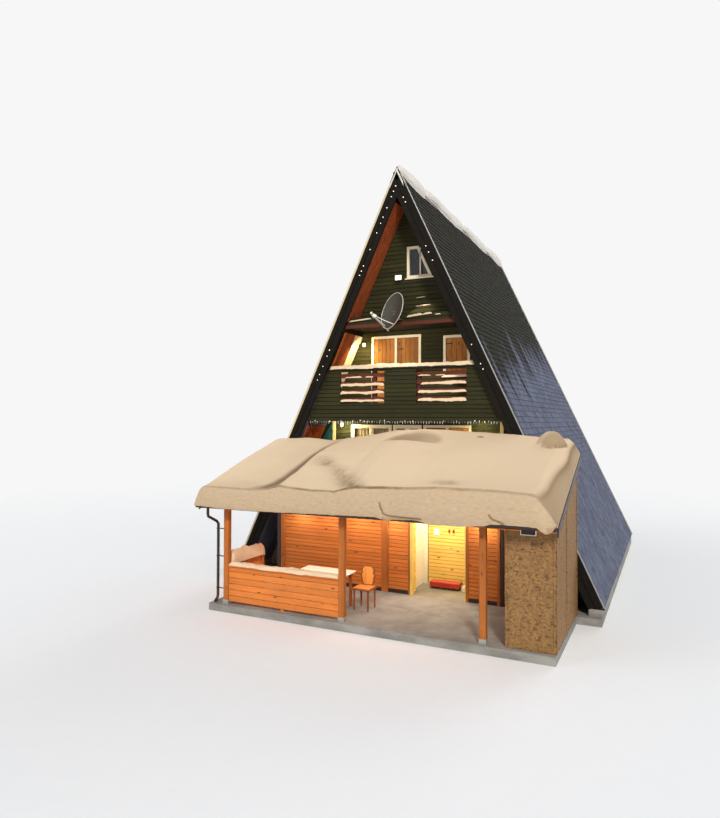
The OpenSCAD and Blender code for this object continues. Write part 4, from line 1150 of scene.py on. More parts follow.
class CABIN_OT_ridge_snow(bpy.types.Operator):
    """Snow along the ridge in four pieces with thin ends, and on the front edge below the ridge"""

    bl_idname = "cabin.ridge_snow"
    bl_label = "Ridge snow"

    def execute(self, context):
        snow = Shape()
        pieces = ((0.004, 0.155), (0.182, 0.490), (0.528, 0.775), (0.815, 0.985))
        for k, (a, b) in enumerate(pieces):
            y0, y1 = a * HOUSE_END, b * HOUSE_END
            if k == 0:
                y0 = -0.03
            steps = int((y1 - y0) / 0.03)
            rings = []
            for i in range(steps + 1):
                y = y0 + (y1 - y0) * i / steps
                share = (y - y0) / (y1 - y0)
                end = min(1.0, (y - y0 + 0.02) / 0.65, (y1 - y + 0.012) / 0.20)
                swell = sqrt(1 - (1 - end) ** 2)
                top = (0.135 + 0.03 * rough_noise((0, y, k), 1.3, 0, 2)) * swell + 0.006
                outer, inner = [], []
                for side in (-1, 1):
                    wave = sin(pi * min(1.0, 0.15 + share * 0.62)) ** 2
                    foot = 0.10 + 0.20 * wave + 0.13 * share ** 3
                    foot += 0.05 * rough_noise((side * 3, y, k), 1.1, 1.0, 2)
                    foot *= 0.6 + 0.4 * swell
                    for s in (0.0, 0.3, 0.6, 0.85, 1.0):
                        d = foot * s
                        thick = top * (1 - 0.55 * s ** 1.6) * (1 if s < 1 else 0.35)
                        thick *= 1 + 0.12 * rough_noise((side * d, y, k), 1.5, 2.0, 2)
                        x = side * (d * cos(STEEP) + thick * sin(STEEP) * (s > 0))
                        z = RIDGE_Z + 0.035 - d * sin(STEEP) + thick * (cos(STEEP) if s else 1.25)
                        outer.append((side * s, Vector((x, y, z))))
                    x = side * (foot * cos(STEEP) + 0.022)
                    inner.append(Vector((x, y, RIDGE_Z + 0.03 - foot * sin(STEEP))))
                # Both sides have a point over the ridge, and one of the two is enough
                outer = sorted(outer, key=lambda item: item[0])
                line = [p for s, p in outer[:5]] + [p for s, p in outer[6:]]
                rings.append(line + [inner[1], Vector((0, y, RIDGE_Z + 0.03)), inner[0]])
            snow.loft(rings, soft=True)
        for side in (-1, 1):
            path = []
            for z in np.linspace(RIDGE_Z - 0.42, RIDGE_Z - 0.03, 8):
                path.append((side * (half_out(z) - 0.022), lows("front_barge").y + 0.002, z))
            drift(snow, path, 0.055, 0.10, 9.0 + side, 30, 0.25)
        snow.done("ridge_snow_pieces", ["cold_snow"], "snow", hides=("ridge_snow",))
        return {"FINISHED"}


class CABIN_OT_dish(bpy.types.Operator):
    """Rim, bolts, struts and feed head of the dish"""

    bl_idname = "cabin.dish"
    bl_label = "Dish"

    def execute(self, context):
        radius, offset, focus, foot = 0.41, 0.42, 0.5, Vector((-0.12, -0.29, LOFT_Z - 0.39))
        place = (Matrix.Translation(foot) @ Matrix.Rotation(radians(-32), 4, "Z")
                 @ Matrix.Rotation(radians(52), 4, "X"))
        rim = Shape()
        rim.at = place
        path = []
        for k in range(49):
            t = 2 * pi * k / 48
            x, y = radius * cos(t), offset + radius * sin(t)
            path.append((x, y, (x * x + y * y) / (4 * focus) + 0.004))
        rim.tube(path, 0.008, 6, 0.3, caps=False)
        rim.coat = 1
        for x, y in ((-0.03, 0.39), (0.03, 0.39), (-0.03, 0.45), (0.03, 0.45)):
            z = (x * x + y * y) / (4 * focus) + 0.008
            rim.lathe([(0.0, 0.006), (0.007, 0.005), (0.009, 0.0), (0.009, -0.004)], 8, 0,
                      Matrix.Translation((x, y, z)))
        head = Matrix.Translation((0, -0.02, 0.46))
        rim.coat = 2
        rim.lathe([(0.0, -0.02), (0.026, -0.018), (0.03, 0.0), (0.036, 0.004), (0.036, 0.06), (0.03, 0.064),
                   (0.03, 0.12), (0.02, 0.128), (0.0, 0.13)], 16, 0.2, head)
        for side in (-1, 1):
            rim.tube([(side * 0.17, 0.10, 0.035), (side * 0.10, 0.05, 0.20), (side * 0.02, -0.01, 0.45)],
                     0.009, 8, 0.2)
        rim.bar((-0.05, -0.05, 0.44), (0.05, 0.02, 0.475), 0.006, 0.2, 2)
        rim.done("dish_fittings", ["rim", "steel", "white"], "bracket_steel")
        return {"FINISHED"}


class CABIN_OT_lamps(bpy.types.Operator):
    """Floodlight, wall lanterns, the lamp over the weather panel, bulbs and icicles"""

    bl_idname = "cabin.lamps"
    bl_label = "Lamps"

    # Turned parts of a lantern with their material: lid, foot and glass, as (radius, height)
    lantern = (
        (0, ((0.0, 0.082), (0.02, 0.078), (0.045, 0.058), (0.05, 0.05), (0.046, 0.046), (0.0, 0.046))),
        (0, ((0.0, -0.07), (0.016, -0.068), (0.028, -0.055), (0.028, -0.048), (0.0, -0.048))),
        (1, ((0.0, 0.046), (0.038, 0.045), (0.040, 0.0), (0.030, -0.047), (0.0, -0.048))))
    # Heights of the bulbs on the left and the right barge board
    bulb_stops = (
        (-1, (9.72, 9.60, 9.48, 9.23, 9.02, 8.88, 8.66, 8.28, 7.9, 7.78, 7.68, 5.9, 5.75, 5.5, 5.3, 5.16)),
        (1, (9.42, 9.30, 8.20, 8.05, 7.85, 5.86, 5.42, 5.3)))

    def floodlight(self, lamps, x, z):
        """A flat lamp on the gable wall with a frame, a foot and cooling ribs"""
        y = GABLE_Y
        lamps.coat = 0
        lamps.bar((x - 0.09, y - 0.085, z - 0.065), (x + 0.09, y - 0.05, z + 0.065), 0.012, 0, 0)
        sash(lamps, x - 0.095, x + 0.095, z - 0.07, z + 0.07, y - 0.098, y - 0.08, 0.012)
        lamps.bar((x - 0.02, y - 0.05, z - 0.04), (x + 0.02, y - 0.018, z + 0.04), 0.004)
        for k in range(6):
            rib = z - 0.05 + k * 0.02
            lamps.bar((x - 0.075, y - 0.05, rib - 0.003), (x + 0.075, y - 0.03, rib + 0.003), 0.001)
        lamps.coat = 1
        lamps.bar((x - 0.082, y - 0.09, z - 0.058), (x + 0.082, y - 0.084, z + 0.058), 0.002)

    def execute(self, context):
        lamps = Shape()
        self.floodlight(lamps, -0.20, GABLE_SILL + 0.03)
        spots = ((UPPER_WINDOWS[0][0] - 0.19, UPPER_HEAD - 0.205), (MAIN_WINDOWS[0][0] - 0.25, MAIN_HEAD))
        for x, z in spots:
            lamps.coat = 0
            lamps.bar((x - 0.035, WALL_Y - 0.03, z - 0.05), (x + 0.035, WALL_Y - 0.016, z + 0.05), 0.005)
            for coat, profile in self.lantern:
                lamps.coat = coat
                lamps.lathe(profile, 14, 0, Matrix.Translation((x, WALL_Y - 0.065, z)))
        # The lamp over the weather panel: back plate, frame and housing
        x0, x1, z0, z1 = 3.459, 3.729, BEAM_LOW.z - 0.055, BEAM_LOW.z + 0.055
        y0, y1 = -2.752, -2.662
        lamps.coat = 2
        lamps.bar((x0, y1 - 0.02, z0), (x1, y1, z1), 0.006, 0.3)
        sash(lamps, x0, x1, z0, z1, y0 + 0.02, y1 - 0.02, 0.014)
        lamps.coat = 0
        lamps.bar((x0 + 0.014, y0 + 0.028, z0 + 0.014), (x1 - 0.014, y1 - 0.02, z1 - 0.014), 0.004)
        lamps.done("lamp_set", ["black", "glow", "white"], "lamp_white", hides=("lamps",))
        bulb = Shape()
        r = context.scene.cabin_sizes.bulb
        bulb.lathe([(0.0, r), (0.7 * r, 0.72 * r), (r, 0.0), (0.7 * r, -0.72 * r), (0.0, -r)], 8)
        bulb_tree = repeat_tree(paints("bulb")[0])
        lights = Shape()
        drop = 0.14 / sin(STEEP)
        for side, stops in self.bulb_stops:
            for k, z in enumerate(stops):
                spot = (side * (half_out(z) - drop), -0.052, z)
                lights.take(bulb_tree.grow(mesh_of(bulb), Count=1, Start=spot, Smallest=0.85, Largest=1.15,
                                           Seed=k))
        lights.done("barge_bulbs", ["bulb"], "lamp_white")
        icicle = Shape()
        icicle.lathe([(0.0, -0.075), (0.006, -0.05), (0.012, -0.018), (0.016, 0.0), (0.008, 0.008),
                      (0.0, 0.01)], 6)
        z = UPPER_Z - FLOOR_T
        reach = half_in(z) - 0.08
        ice = Shape()
        ice_tree = repeat_tree(paints("ice")[0])
        ice.take(ice_tree.grow(mesh_of(icicle), Count=74, Start=(-reach, PARAPET_Y - 0.006, z - 0.002),
                               Step=(2 * reach / 73, 0.0, 0.0), Wobble=0.004, Smallest=0.35, Largest=1.0,
                               Seed=3))
        drops = Shape()
        drops.take(bulb_tree.grow(mesh_of(bulb), Count=46,
                                  Start=(-reach + 0.03, PARAPET_Y - 0.008, z + 0.012),
                                  Step=((2 * reach - 0.06) / 45, 0.0, 0.0), Wobble=0.012, Smallest=0.6,
                                  Largest=1.15, Seed=8))
        drops.done("balcony_edge_bulbs", ["bulb"], "lamp_white")
        ice.done("icicles", ["ice"], "snow")
        return {"FINISHED"}


class CABIN_OT_porch_walls(bpy.types.Operator):
    """Pine boards, posts and battens of the porch wall, and the lining of the entrance"""

    bl_idname = "cabin.porch_walls"
    bl_label = "Porch walls"

    def execute(self, context):
        sizes = context.scene.cabin_sizes
        luck = random.Random(31)
        board, gap = sizes.pine, sizes.groove
        y1 = PORCH_WALL_Y
        y0 = y1 - 0.019
        wall = Shape()
        z0, z1 = PORCH_FLOOR + 0.09, lean_top(y1) - 0.165
        for left, right in ((WALL_LEFT[0].x + 0.20, RECESS[0] - 0.05), (RECESS[1] + 0.06, WALL_RIGHT[1].x)):
            clad(wall, y0, y1, z0, z1, lambda z, x=left: x, lambda z, x=right: x, [], board, gap, luck)
        clad(wall, y0, y1, RECESS_TOP + 0.08, z1, lambda z: RECESS[0] - 0.02, lambda z: RECESS[1] + 0.02,
             [], board, gap, luck)
        wall.coat = 1
        x, z = WALL_LEFT[0].x, z0
        while z < z1:
            wall.bar((x - 0.017, y1 + 0.002, z), (x, WALL_LEFT[1].y, min(z + board, z1) - gap),
                     0.006, luck.uniform(-1, 1), 1)
            z += board
        wall.done("porch_boards", ["pine", "pine_side"], "porch_pine")
        trims = Shape()
        zt = z1 + 0.01
        for x0, x1, out in ((WALL_LEFT[0].x + 0.08, WALL_LEFT[0].x + 0.20, 0.045), (-0.31, -0.14, 0.045),
                            (RECESS[0] - 0.05, RECESS[0], 0.03), (RECESS[1], RECESS[1] + 0.06, 0.03),
                            (2.42, 2.49, 0.04)):
            trims.bar((x0, y1 - out, PORCH_FLOOR), (x1, y1 - 0.002, zt), 0.008, luck.uniform(-0.6, 0.6), 2)
        trims.coat = 1
        trims.bar((2.50, y1 - 0.035, PORCH_FLOOR), (2.57, y1 - 0.002, zt), 0.006, -0.4, 2)
        # Dark brown strip for the corner post's left half: painted shade on the side away from the light
        trims.bar((WALL_LEFT[0].x - 0.02, y1 - 0.05, PORCH_FLOOR), (WALL_LEFT[0].x + 0.076, y1 - 0.002, zt),
                  0.006, 0.2, 2)
        # Dark brown strips at the foot of the walls: painted shade, where the floor lies in shade
        for x0, x1 in ((WALL_LEFT[0].x, RECESS[0] - 0.05), (RECESS[1] + 0.06, WALL_RIGHT[1].x)):
            trims.bar((x0, y1 - 0.026, PORCH_FLOOR), (x1, y1 - 0.004, PORCH_FLOOR + 0.088), 0.006, 0)
        trims.coat = 0
        trims.bar((WALL_LEFT[0].x, y1 - 0.03, zt - 0.01), (WALL_RIGHT[1].x, y1 - 0.003, zt + 0.06),
                  0.008, 0.3)
        trims.done("porch_battens", ["pine_post", "metal"], "porch_pine")
        lining = Shape()
        back = RECESS_BACK
        clad(lining, back - 0.018, back, PORCH_FLOOR + 0.07, RECESS_TOP - 0.01,
             lambda z: RECESS[0] + 0.02, lambda z: RECESS[1] - 0.02, [], board, gap, luck)
        lining.coat = 1
        z = PORCH_FLOOR + 0.01
        door_y = lows("door_frame").y
        while z < RECESS_TOP - 0.02:
            top = min(z + board, RECESS_TOP - 0.01) - gap
            lining.bar((RECESS[1] - 0.018, -0.03, z), (RECESS[1], back - 0.02, top), 0.006,
                       luck.uniform(-1, 1), 1)
            lining.bar((RECESS[0], -0.03, z), (RECESS[0] + 0.018, door_y - 0.004, top), 0.006,
                       luck.uniform(-1, 1), 1)
            z += board
        count = 9
        step = (RECESS[1] - RECESS[0] - 0.04) / count
        for k in range(count):
            a = RECESS[0] + 0.02 + k * step
            lining.bar((a, -0.02, RECESS_TOP - 0.016), (a + step - 0.006, back - 0.02, RECESS_TOP), 0.005,
                       luck.uniform(-1, 1), 1)
        lining.coat = 2
        for x, wide in ((RECESS[0] + 0.001, 0.05), (RECESS[1] - 0.026, 0.025)):
            lining.bar((x, PORCH_WALL_Y - 0.032, PORCH_FLOOR), (x + wide, -0.02, RECESS_TOP), 0.006, 0.2, 2)
        lining.bar((RECESS[0] + 0.05, PORCH_WALL_Y - 0.032, RECESS_TOP - 0.06),
                   (RECESS[1] - 0.05, -0.02, RECESS_TOP), 0.006, 0.2, 0)
        lining.bar((RECESS[0] + 0.02, back - 0.04, PORCH_FLOOR),
                   (RECESS[1] - 0.02, back - 0.018, PORCH_FLOOR + 0.07), 0.005)
        lining.done("entrance_lining", ["pale", "pale_side", "pale_post"], "pale_pine")
        return {"FINISHED"}


class CABIN_OT_porch_frame(bpy.types.Operator):
    """Posts with their shoes, beam, ceiling boards, and the balustrade with its snow"""

    bl_idname = "cabin.porch_frame"
    bl_label = "Porch timber"

    def execute(self, context):
        luck = random.Random(41)
        timber, feet = Shape(), Shape()
        h = POST_W / 2
        wide = h + 0.006
        for x in PORCH_POSTS:
            timber.bar((x - h, POST_Y - h, PORCH_FLOOR + 0.04), (x + h, POST_Y + h, BEAM_LOW.z), 0.012,
                       luck.uniform(-0.5, 0.5), 2)
            feet.bar((x - wide, POST_Y - wide, PORCH_FLOOR), (x + wide, POST_Y + wide, PORCH_FLOOR + 0.09),
                     0.004, 0, 2)
        timber.done("post_timbers", ["pine_post"], "porch_pine", hides=("porch_posts",))
        feet.done("post_shoes", ["steel"], "bracket_steel")
        beams = Shape()
        beams.bar(BEAM_LOW, BEAM_HIGH, 0.01, 0.1)
        beams.done("porch_beam_timbers", ["pine"], "porch_pine", hides=("eave_beam",))
        ceiling = Shape()
        up = Vector((0, cos(LEAN), sin(LEAN)))
        out = Vector((0, -sin(LEAN), cos(LEAN)))
        ceiling.at = frame_at(Vector((1, 0, 0)), up, out, Vector((0, *EAVE)))
        length = (DECK_HIGH.y - EAVE[0]) / cos(LEAN)
        count = 22
        step = (length - 0.06) / count
        for k in range(count):
            a = 0.03 + k * step
            ceiling.bar((DECK_LOW.x + 0.02, a, -0.046), (DECK_HIGH.x - 0.02, a + step - 0.006, -0.031),
                        0.005, luck.uniform(-1, 1), 0)
        ceiling.done("porch_ceiling", ["pine"], "porch_deck")
        self.balustrade(luck, h)
        return {"FINISHED"}

    def balustrade(self, luck, h):
        """Boards, capping and snow of the balustrade in front and at the left end"""
        rail = Shape()
        high = highs("balustrade")
        low, top, step = PORCH_FLOOR + 0.06, high.z - 0.04, 0.13
        x0, x1 = PORCH_POSTS[0] + h + 0.002, PORCH_POSTS[1] - h - 0.002
        x, ya, yb = PORCH_POSTS[0], POST_Y + h + 0.002, high.y

        def rows(a, b, way):
            z = low
            while z < top - 0.03:
                rail.bar((*a, z), (*b, min(z + step, top) - 0.01), 0.006, luck.uniform(-1, 1), way)
                z += step

        rows((x0, POST_Y - 0.03), (x1, POST_Y - 0.006), 0)
        rail.bar((x0, POST_Y - 0.06, top), (x1, POST_Y + 0.06, high.z), 0.012, 0.2, 0)
        middle = (x0 + x1) / 2
        for a, b, foot, back in ((x0, x0 + 0.08, low, 0.03), (x1 - 0.08, x1, low, 0.03),
                                 (middle - 0.04, middle + 0.04, PORCH_FLOOR, 0.04)):
            rail.bar((a, POST_Y - 0.006, foot), (b, POST_Y + back, top), 0.006, 0, 2)
        rail.coat = 1
        rows((x - 0.03, ya), (x - 0.006, yb - 0.01), 1)
        rail.bar((x - 0.06, ya, top), (x + 0.06, yb, high.z), 0.012, 0.2, 1)
        rail.coat = 2
        rail.bar((x - 0.045, yb - 0.09, PORCH_FLOOR), (x + 0.045, yb, top), 0.008, 0, 2)
        rail.done("balustrade_boards", ["pine", "pine_side", "pine_post"], "porch_pine",
                  hides=("balustrade",))
        snow = Shape()
        z = high.z - 0.003
        drift(snow, [(x0 + 0.01, POST_Y, z), (x1 - 0.01, POST_Y, z)], 0.15, 0.07, 12, 90, 0.3, 0.02)
        drift(snow, [(x, ya + 0.01, z), (x, yb - 0.01, z)], 0.2, 0.25, 17, 50, 0.22, 0.05)
        snow.done("rail_snow_drifts", ["snow"], "snow", hides=("rail_snow",))


# Porch snow: its crest along the front, its edge along the house, and its lower edge, as (x, z)
FRONT_CREST = ((-3.48, 2.69), (-3.30, 2.725), (-2.60, 2.722), (-1.90, 2.715), (-1.62, 2.755), (-1.36, 2.83),
               (-1.1, 2.80), (-0.60, 2.77), (-0.10, 2.785), (0.14, 2.885), (0.36, 2.93), (0.70, 2.905),
               (1.40, 2.91), (2.0, 2.95), (2.45, 2.945), (3.10, 2.945), (3.75, 2.91), (4.13, 2.70))
BACK_CREST = ((-3.48, 3.63), (-3.30, 3.68), (-2.41, 3.72), (-1.75, 3.67), (-1.3, 3.72), (-0.5, 3.83),
              (0.05, 3.93), (0.60, 3.955), (1.2, 3.945), (2.01, 3.895), (2.89, 3.85), (3.42, 3.80),
              (3.9, 3.78), (4.13, 3.60))
LOWER_EDGE = ((-3.48, 2.30), (-3.31, 2.30), (-2.77, 2.276), (-2.0, 2.277), (-1.33, 2.29), (-0.34, 2.315),
              (0.31, 2.33), (0.82, 2.342), (0.92, 2.32), (1.08, 2.275), (1.16, 2.31), (1.56, 2.332),
              (1.75, 2.319), (1.9, 2.276), (2.43, 2.279), (2.9, 2.325), (3.0, 2.36), (3.22, 2.37),
              (3.53, 2.37), (3.80, 2.362), (3.87, 2.305), (3.94, 2.262), (4.0, 2.274), (4.05, 2.31),
              (4.13, 2.42))
# Two cracks in the front face, as (x, z)
CRACKS = (((0.91, 2.61), (0.94, 2.52), (0.99, 2.42), (1.06, 2.39), (1.14, 2.38), (1.34, 2.372),
           (1.54, 2.364), (1.74, 2.363)),
          ((2.99, 2.52), (3.05, 2.45), (3.17, 2.412), (3.24, 2.38)))
# Plan of the step between the two drifts, of the valley right of it and of the right shoulder, as (y, x)
STEP_LEFT = ((-2.95, -1.92), (-2.66, -1.72), (-2.3, -1.62), (-1.6, -1.62), (-1.1, -1.66), (-0.6, -1.62),
             (-0.3, -1.52), (-0.05, -1.45))
STEP_RIGHT = ((-2.95, -1.36), (-2.3, -1.32), (-1.98, -1.34), (-1.52, -1.42), (-1.11, -1.46), (-0.79, -1.43),
              (-0.39, -1.32), (-0.05, -1.25))
VALLEY_LINE = ((-2.95, 0.33), (-2.61, -0.04), (-2.25, -0.32), (-1.92, -0.63), (-1.71, -0.93), (-1.43, -1.22))
SHOULDER_LINE = ((-2.95, 3.74), (-2.86, 3.78), (-2.57, 3.85), (-1.98, 3.93), (-1.17, 3.98), (-0.05, 4.0))
# Middles of the lump, the scoop, the dent, the scar and the knob, as (x, y)
LUMP = (3.62, -0.50)
SCOOP = (0.70, -0.55)
DENT = (-0.98, -1.68)
SCAR = (2.12, -2.77)
KNOB = (2.13, -0.45)
# How much shade is painted on the front face's upper edge, under the crest, as (x, share)
EDGE_DARK = ((-3.4, 0.15), (-2.0, 0.25), (-1.3, 0.45), (-0.4, 0.4), (0.0, 0.5), (0.3, 0.75),
             (1.1, 0.6), (1.5, 0.3), (2.6, 0.25), (3.9, 0.25))
# Where the snow's upper side starts, and its depth from front to back
SNOW_FRONT, SNOW_DEPTH = -2.95, 2.88


def along(table, x):
    """A table's value at one place, between its entries on a straight line"""
    xs, zs = zip(*table)
    return float(np.interp(x, xs, zs))


def bell(value, centre, width):
    """1 at the centre, falling off on both sides"""
    return exp(-((value - centre) / width) ** 2)


def step_up(value, low, high):
    """Rises smoothly from 0 to 1 between low and high"""
    share = min(1.0, max(0.0, (value - low) / (high - low)))
    return share * share * (3 - 2 * share)


def gap_to(line, x, z):
    """Distance from a point to a line of points"""
    best = 9.0
    for (ax, az), (bx, bz) in zip(line, line[1:]):
        share = ((x - ax) * (bx - ax) + (z - az) * (bz - az)) / ((bx - ax) ** 2 + (bz - az) ** 2)
        share = min(1.0, max(0.0, share))
        best = min(best, hypot(x - ax - share * (bx - ax), z - az - share * (bz - az)))
    return best


def snow_top(x, y):
    """Height of the snow's upper side, with its drifts, step, hollows and lump, and its shading, most of it
    painted shade
    """
    s = min(1.0, max(0.0, (y - SNOW_FRONT) / SNOW_DEPTH))
    z = along(FRONT_CREST, x) * (1 - s) + along(BACK_CREST, x) * s + 0.05 * sin(pi * s)
    first, last = along(STEP_LEFT, y), along(STEP_RIGHT, y)
    u = (x - first) / (last - first)
    fade = step_up(s, 0.0, 0.15) * (1 - 0.85 * step_up(s, 0.72, 1.0))
    z -= 0.055 * fade * (1 - step_up(u, 0.0, 1.0)) * (1 - 0.7 * step_up(-u, 0.0, 5.0))
    z += 0.012 * fade * bell(u, 1.25, 0.5)
    # Painted shade on the step's slope, which faces away from the light
    dark = step_up(u, -0.75, 0.30) * (1 - step_up(u, 0.84, 1.06))
    shade = -1.0 * dark * (1 - 0.85 * step_up(s, 0.74, 0.97)) * (0.72 + 0.28 * step_up(s, 0.0, 0.12))
    away = x - along(VALLEY_LINE, y)
    deep = (1 - step_up(s, 0.50, 0.62)) * step_up(u, 1.0, 1.6)
    z -= 0.05 * exp(-((away + 0.10) / (0.42 if away > -0.10 else 0.30)) ** 2) * deep
    grit = 1 + 0.5 * rough_noise((x, y, 0), 7.0, 6.0, 4)
    steep = exp(-(away / (0.26 if away > 0 else 0.19)) ** 2)
    # Painted shade in the valley and in the dent
    shade -= (0.34 + 0.30 * bell(s, 0.06, 0.2)) * steep * deep * grit
    shade -= 0.30 * bell(x, DENT[0], 0.13) * bell(y, DENT[1], 0.15) * grit
    z -= 0.015 * bell(x, DENT[0], 0.10) * bell(y, DENT[1], 0.13)
    z += 0.03 * bell(x, 2.3, 1.1) * bell(s, 0.48, 0.30)
    # The scoop near the wall, with painted shadow in it
    along_it = (x - SCOOP[0]) + (y - SCOOP[1]) * -0.16
    across_it = (y - SCOOP[1]) + (x - SCOOP[0]) * 0.16
    bow = across_it - 0.10 + 0.55 * along_it ** 2
    scoop = step_up(1.0 - (along_it / 0.80) ** 2 - (bow / 0.40) ** 2, 0.0, 0.6)
    z -= 0.05 * scoop * step_up(-y, 0.05, 0.2)
    shade -= 0.66 * scoop * (1 - 0.45 * step_up(along_it, -0.2, 0.7)) * (0.6 + 0.4 * step_up(-y, 0.1, 0.5))
    shade -= 0.42 * bell(x, SCAR[0], 0.28) * bell(y, SCAR[1], 0.085) * grit
    # Painted shade: darker towards the right, at the front, and left of the step
    shade -= 0.16 * step_up(x, 0.8, 3.6) + 0.08 * bell(s, 0.0, 0.2) + 0.10 * bell(u, -1.2, 2.4)
    bump = 1.0 - ((x - LUMP[0]) / 0.29) ** 2 - ((y - LUMP[1]) / 0.28) ** 2
    if bump > 0:
        facet = 0.02 * rough_noise((x, y, 0), 3.0, 4.0, 2)
        z += 0.25 * bump ** 0.75 + facet * bump
    # Painted shade on the lump's lower right side and in a ring beside it
    shade -= 0.13 * step_up(bump, -0.05, 0.2)
    shade -= 0.42 * step_up(bump, 0.0, 0.25) * step_up(0.7 * (x - LUMP[0]) - (y - LUMP[1]), -0.06, 0.16)
    around = step_up(0.9 * (x - LUMP[0]) - (y - LUMP[1]), 0.02, 0.22)
    shade -= 0.72 * bell(bump, -0.03, 0.16) * around
    knob = 1.0 - ((x - KNOB[0]) / 0.075) ** 2 - ((y - KNOB[1]) / 0.05) ** 2
    if knob > 0:
        z += 0.035 * sqrt(knob)
        shade -= 0.8
    # The right shoulder, with painted shade on its side face and a dark crease at its crest
    crest = along(SHOULDER_LINE, y) + 0.02 * sin(4 * y)
    if x > crest - 0.10:
        q = max(0.0, (x - crest) / (DECK_HIGH.x + 0.012 - crest))
        low = lean_top(max(y, EAVE[0])) + 0.05
        z = z + (low - z) * (0.35 * q + 0.65 * q ** 2.2)
        z -= 0.012 * bell(x, crest, 0.05)
        shade -= 0.52 * step_up(q, 0.0, 0.25)
    shade -= 0.30 * bell(x, crest + 0.02, 0.05)
    return z, shade


class CABIN_OT_porch_snow(bpy.types.Operator):
    """The thick blanket of snow on the porch roof, modelled as a closed body"""

    bl_idname = "cabin.porch_snow"
    bl_label = "Porch snow"

    def execute(self, context):
        x0, x1 = DECK_LOW.x - 0.015, DECK_HIGH.x + 0.012
        back = DECK_HIGH.y - 0.002
        columns, rows, face_rows = 500, 74, 40
        # Where the rows of the upper side start
        start = -2.955
        rings, snow = [], Shape()
        for i in range(columns + 1):
            x = x0 + (x1 - x0) * i / columns
            near = min((x - x0) / 0.24, 1.0)
            swell = sqrt(max(0.0, 1 - (1 - near) ** 2))
            foot = along(LOWER_EDGE, x) + 0.007 * rough_noise((x, 0, 0), 7.0, 3.0, 5)
            low = EAVE[1] + 0.05
            crest = low + (snow_top(x, SNOW_FRONT)[0] - low) * (0.30 + 0.70 * swell)
            end = min(1.0, (x1 - x) / 0.42)
            round_end = sqrt(1 - (1 - end) ** 2)
            rim = gutter_rim(x) + 0.004
            ring = [(x, back, lean_top(back) + 0.002), (x, EAVE[0] - 0.028, EAVE[1] + 0.002),
                    (x, -2.99, max(foot, rim) + 0.006), (x, -3.053, max(foot, rim)),
                    (x, -3.054, foot + 0.006)]
            # Painted shade on the underside at the gutter, under the overhang
            snow.marks += [0.0, 0.0, -0.7, -0.7, -0.7]
            for k in range(face_rows + 1):
                t = k / face_rows
                z = foot + (crest - foot) * t
                lean = 0.10 * t ** 1.7 + 0.018 * (1 - t) ** 6
                y = -3.078 + lean + 0.16 * (1 - round_end) * (0.25 + 0.75 * t) + 0.05 * (1 - swell) * t
                broad = rough_noise((x * 0.55, 0, z * 1.6), 3.2, 1.0, 3)
                grain = rough_noise((x * 0.45, 0, z * 2.0), 22.0, 6.0, 4)
                y += (0.018 * broad + 0.005 * grain) * sin(pi * t)
                # Painted shade on the front face, which faces away from the light, darker towards its foot
                tone = -0.47 + 0.10 * grain - 0.08 * (1 - t) ** 2
                for line in CRACKS:
                    gap = gap_to(line, x, z)
                    # Painted shade in the cracks
                    tone -= 0.75 * bell(gap, 0.0, 0.013)
                    y += 0.018 * bell(gap, 0.0, 0.02)
                under = step_up(along(CRACKS[0], x) - z, 0.0, 0.01)
                y += 0.018 * under * step_up(x, 0.93, 0.99) * (1 - step_up(x, 1.70, 1.75))
                if k > face_rows - 3:
                    # Painted shade along the front face's upper edge, under the crest
                    deep = along(EDGE_DARK, x)
                    tone -= deep * min(1.0, max(0.0, 0.8 + 0.5 * rough_noise((x, 0, 0), 3.0, 4.0)))
                    y += 0.012 * deep
                ring.append((x, max(y, -3.085), z))
                snow.marks.append(tone)
            for k in range(1, rows + 1):
                s = k / rows
                y = start + (back - start) * s
                z, tone = snow_top(x, y)
                base = lean_top(max(y, EAVE[0])) + 0.01
                z = base + (z - base) * (0.12 + 0.88 * swell)
                z += (0.006 * rough_noise((x, y, 0), 1.7, 2.0, 4)
                      + 0.0015 * rough_noise((x, y, 0), 12.0, 5.0, 3))
                ring.append((x, y, z))
                snow.marks.append(tone)
            rings.append(ring)
        snow.loft(rings, soft=True)
        snow.done("porch_snow_blanket", ["snow"], "snow", hides=("porch_snow",), crisp=75)
        return {"FINISHED"}


